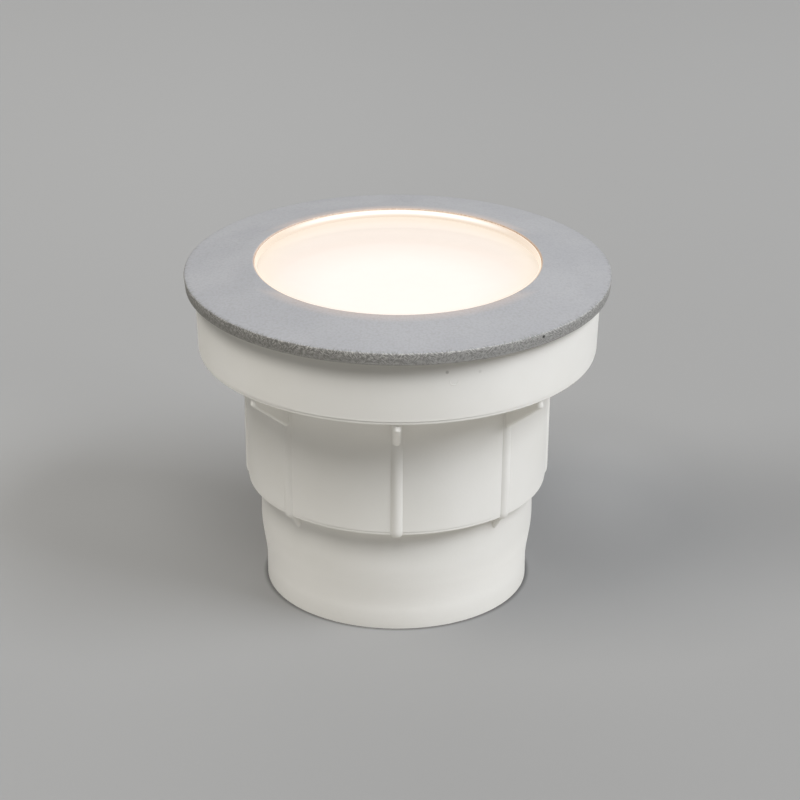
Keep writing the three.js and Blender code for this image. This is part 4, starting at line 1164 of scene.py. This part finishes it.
# Colours of the painted shade and the painted light on the floor
FLOOR_PAINTED_SHADE = (0.05,) * 3
FLOOR_PAINTED_LIGHT = (0.62,) * 3
CONTACT_SHADOW = 1.6

# Painted soft patches of light and shade on the floor: centre and reach in millimetres, strength and colour
FLOOR_PAINTED_PATCHES = [
    ((-165, 40), (165, 120), 0.24, FLOOR_PAINTED_LIGHT),
    ((55, 55), (45, 55), 0.20, FLOOR_PAINTED_LIGHT),
    ((140, 40), (85, 80), 0.22, FLOOR_PAINTED_SHADE),
]


def floor_patch(finish, centre, reach, most):
    """A soft oval mask on the floor, strongest at its centre, for the painted light and shade patches."""
    middle = (centre[0] * MM, centre[1] * MM, 0)
    away = vector_node(finish.tree, "SUBTRACT", finish.where.outputs["Object"], middle)
    share = vector_node(finish.tree, "DIVIDE", away, (reach[0] * MM, reach[1] * MM, 1))
    return ramp(finish.tree, vector_node(finish.tree, "LENGTH", share), 0.0, 1.0, most, 0.0)


def floor_finish():
    """Matt grey with soft painted shading: darker towards the front and the right, painted patches of light
    and shade and a painted contact shadow round the foot. Seen from below it is clear.
    """
    finish = Finish("floor_grey", (FLOOR_GREY,) * 3, 0.9)
    finish.bsdf.inputs["Specular IOR Level"].default_value = 0.0
    mottle = finish.group(MOTTLE, Cloud_Scale=3.0, Fine_Scale=60.0)
    finish.tint(ramp(finish.tree, mottle["Cloud"], 0.3, 0.7), (FLOOR_GREY * 0.985,) * 3)
    # Painted shade that darkens the floor towards the front and fades towards the back
    finish.tint(finish.between("Y", -100, 480, 0.215, 0.0), FLOOR_PAINTED_SHADE)
    # Painted shade, a little darker towards the right
    finish.tint(finish.between("X", -90, 90, 0.0, 0.06), FLOOR_PAINTED_SHADE)
    # Painted patches of light and shade
    for centre, reach, most, colour in FLOOR_PAINTED_PATCHES:
        finish.tint(floor_patch(finish, centre, reach, most), colour)
    # A painted contact shadow round the foot
    finish.tint(finish.outward(FOOT_RADIUS, FOOT_RADIUS + CONTACT_SHADOW, 0.6, 0.0), FLOOR_PAINTED_SHADE)
    under = finish.tree.nodes.new("ShaderNodeNewGeometry")
    clear = finish.tree.nodes.new("ShaderNodeBsdfTransparent")
    either = finish.tree.nodes.new("ShaderNodeMixShader")
    finish.link(under.outputs["Backfacing"], either.inputs["Fac"])
    finish.link(finish.bsdf.outputs["BSDF"], either.inputs[1])
    finish.link(clear.outputs["BSDF"], either.inputs[2])
    finish.link(either.outputs["Shader"], finish.tree.nodes["Material Output"].inputs["Surface"])
    return finish.material


def make_floor():
    """A wide plain floor that throws no light back on the piece."""
    half = FLOOR_SIZE / 2
    corners = [(-half, -half, 0), (half, -half, 0), (half, half, 0), (-half, half, 0)]
    mesh = bpy.data.meshes.new("floor")
    mesh.from_pydata(corners, [], [(0, 1, 2, 3)])
    mesh.materials.append(floor_finish())
    floor = placed("floor", mesh)
    floor.visible_diffuse = False
    floor.visible_shadow = False


BACKDROP = (0.418,) * 3
LIGHT_FROM_BELOW = (0.76, 0.735, 0.675)
LIGHT_FROM_ABOVE = (0.04,) * 3


def make_world():
    """A plain backdrop for the camera, and a soft light that comes mostly from below."""
    world = bpy.data.worlds.new("studio")
    bpy.context.scene.world = world
    world.use_nodes = True
    tree = world.node_tree
    tree.nodes.clear()
    link, add = tree.links.new, tree.nodes.new
    direction = add("ShaderNodeTexCoord")
    split = add("ShaderNodeSeparateXYZ")
    link(direction.outputs["Generated"], split.inputs["Vector"])
    height = ramp(tree, split.outputs["Z"], -0.8, 0.3)
    ambient = colour_mix(tree, height, LIGHT_FROM_BELOW, LIGHT_FROM_ABOVE)
    seen = add("ShaderNodeLightPath")
    plain = math_node(tree, "MAXIMUM", seen.outputs["Is Camera Ray"], seen.outputs["Is Transmission Ray"])
    plain = math_node(tree, "MAXIMUM", plain, seen.outputs["Is Glossy Ray"])
    back, out = add("ShaderNodeBackground"), add("ShaderNodeOutputWorld")
    link(colour_mix(tree, plain, ambient, BACKDROP), back.inputs["Color"])
    link(back.outputs["Background"], out.inputs["Surface"])


LIGHT_DISTANCE = 2.6


def softbox(name, azimuth, elevation, size, level, colour):
    """A rectangular area light that gives a white face turned to it the level as its brightness."""
    lamp = bpy.data.lights.new(name, "AREA")
    lamp.shape = "RECTANGLE"
    lamp.size, lamp.size_y = size
    lamp.energy = level * (math.pi * LIGHT_DISTANCE) ** 2
    lamp.color = colour
    flat = LIGHT_DISTANCE * math.cos(math.radians(elevation))
    rise = LIGHT_DISTANCE * math.sin(math.radians(elevation))
    turn = math.radians(azimuth)
    place = Vector((flat * math.sin(turn), -flat * math.cos(turn), rise))
    box = placed(name, lamp)
    box.location = place
    box.rotation_euler = (-place).to_track_quat("-Z", "Y").to_euler()
    box.visible_camera = False


def make_lights():
    """Five softboxes round the light, by azimuth, elevation, size, level and colour."""
    softbox("left_softbox", -62, 60, (1.3, 1.0), 0.45, (1.04, 1.0, 0.93))
    softbox("top_softbox", -30, 78, (1.3, 1.0), 0.16, (1.0, 1.0, 0.98))
    softbox("front_softbox", -8, 62, (1.3, 1.0), 0.30, (1.0, 1.0, 0.98))
    softbox("right_softbox", 67, 45, (1.4, 1.2), 0.90, (0.98, 1.0, 1.03))
    softbox("back_softbox", 180, 35, (1.6, 1.0), 0.18, (1.0, 1.0, 1.0))


CAMERA_DISTANCE = 0.880
CAMERA_ELEVATION = math.radians(24.2)
CAMERA_LENS = 138.6
CAMERA_SENSOR = 36
CAMERA_TARGET = Vector((0.0008, 0, 0.05385))
CAMERA_ROLL = math.radians(0.29)


def make_camera():
    """The camera that was fitted to the photo."""
    data = bpy.data.cameras.new("camera")
    data.lens = CAMERA_LENS
    data.sensor_width = CAMERA_SENSOR
    camera = placed("camera", data)
    flat, rise = math.cos(CAMERA_ELEVATION), math.sin(CAMERA_ELEVATION)
    camera.location = CAMERA_TARGET + CAMERA_DISTANCE * Vector((0, -flat, rise))
    pitch = Matrix.Rotation(math.pi / 2 - CAMERA_ELEVATION, 3, "X")
    camera.rotation_euler = (pitch @ Matrix.Rotation(CAMERA_ROLL, 3, "Z")).to_euler()
    bpy.context.scene.camera = camera


make_camera()
make_world()
make_lights()
make_floor()
make_sleeve()
make_bezel()
make_lens()
make_gasket()
make_lamp_cover()
make_reflector()
make_inner_pieces()

bpy.context.scene.view_settings.view_transform = "Standard"
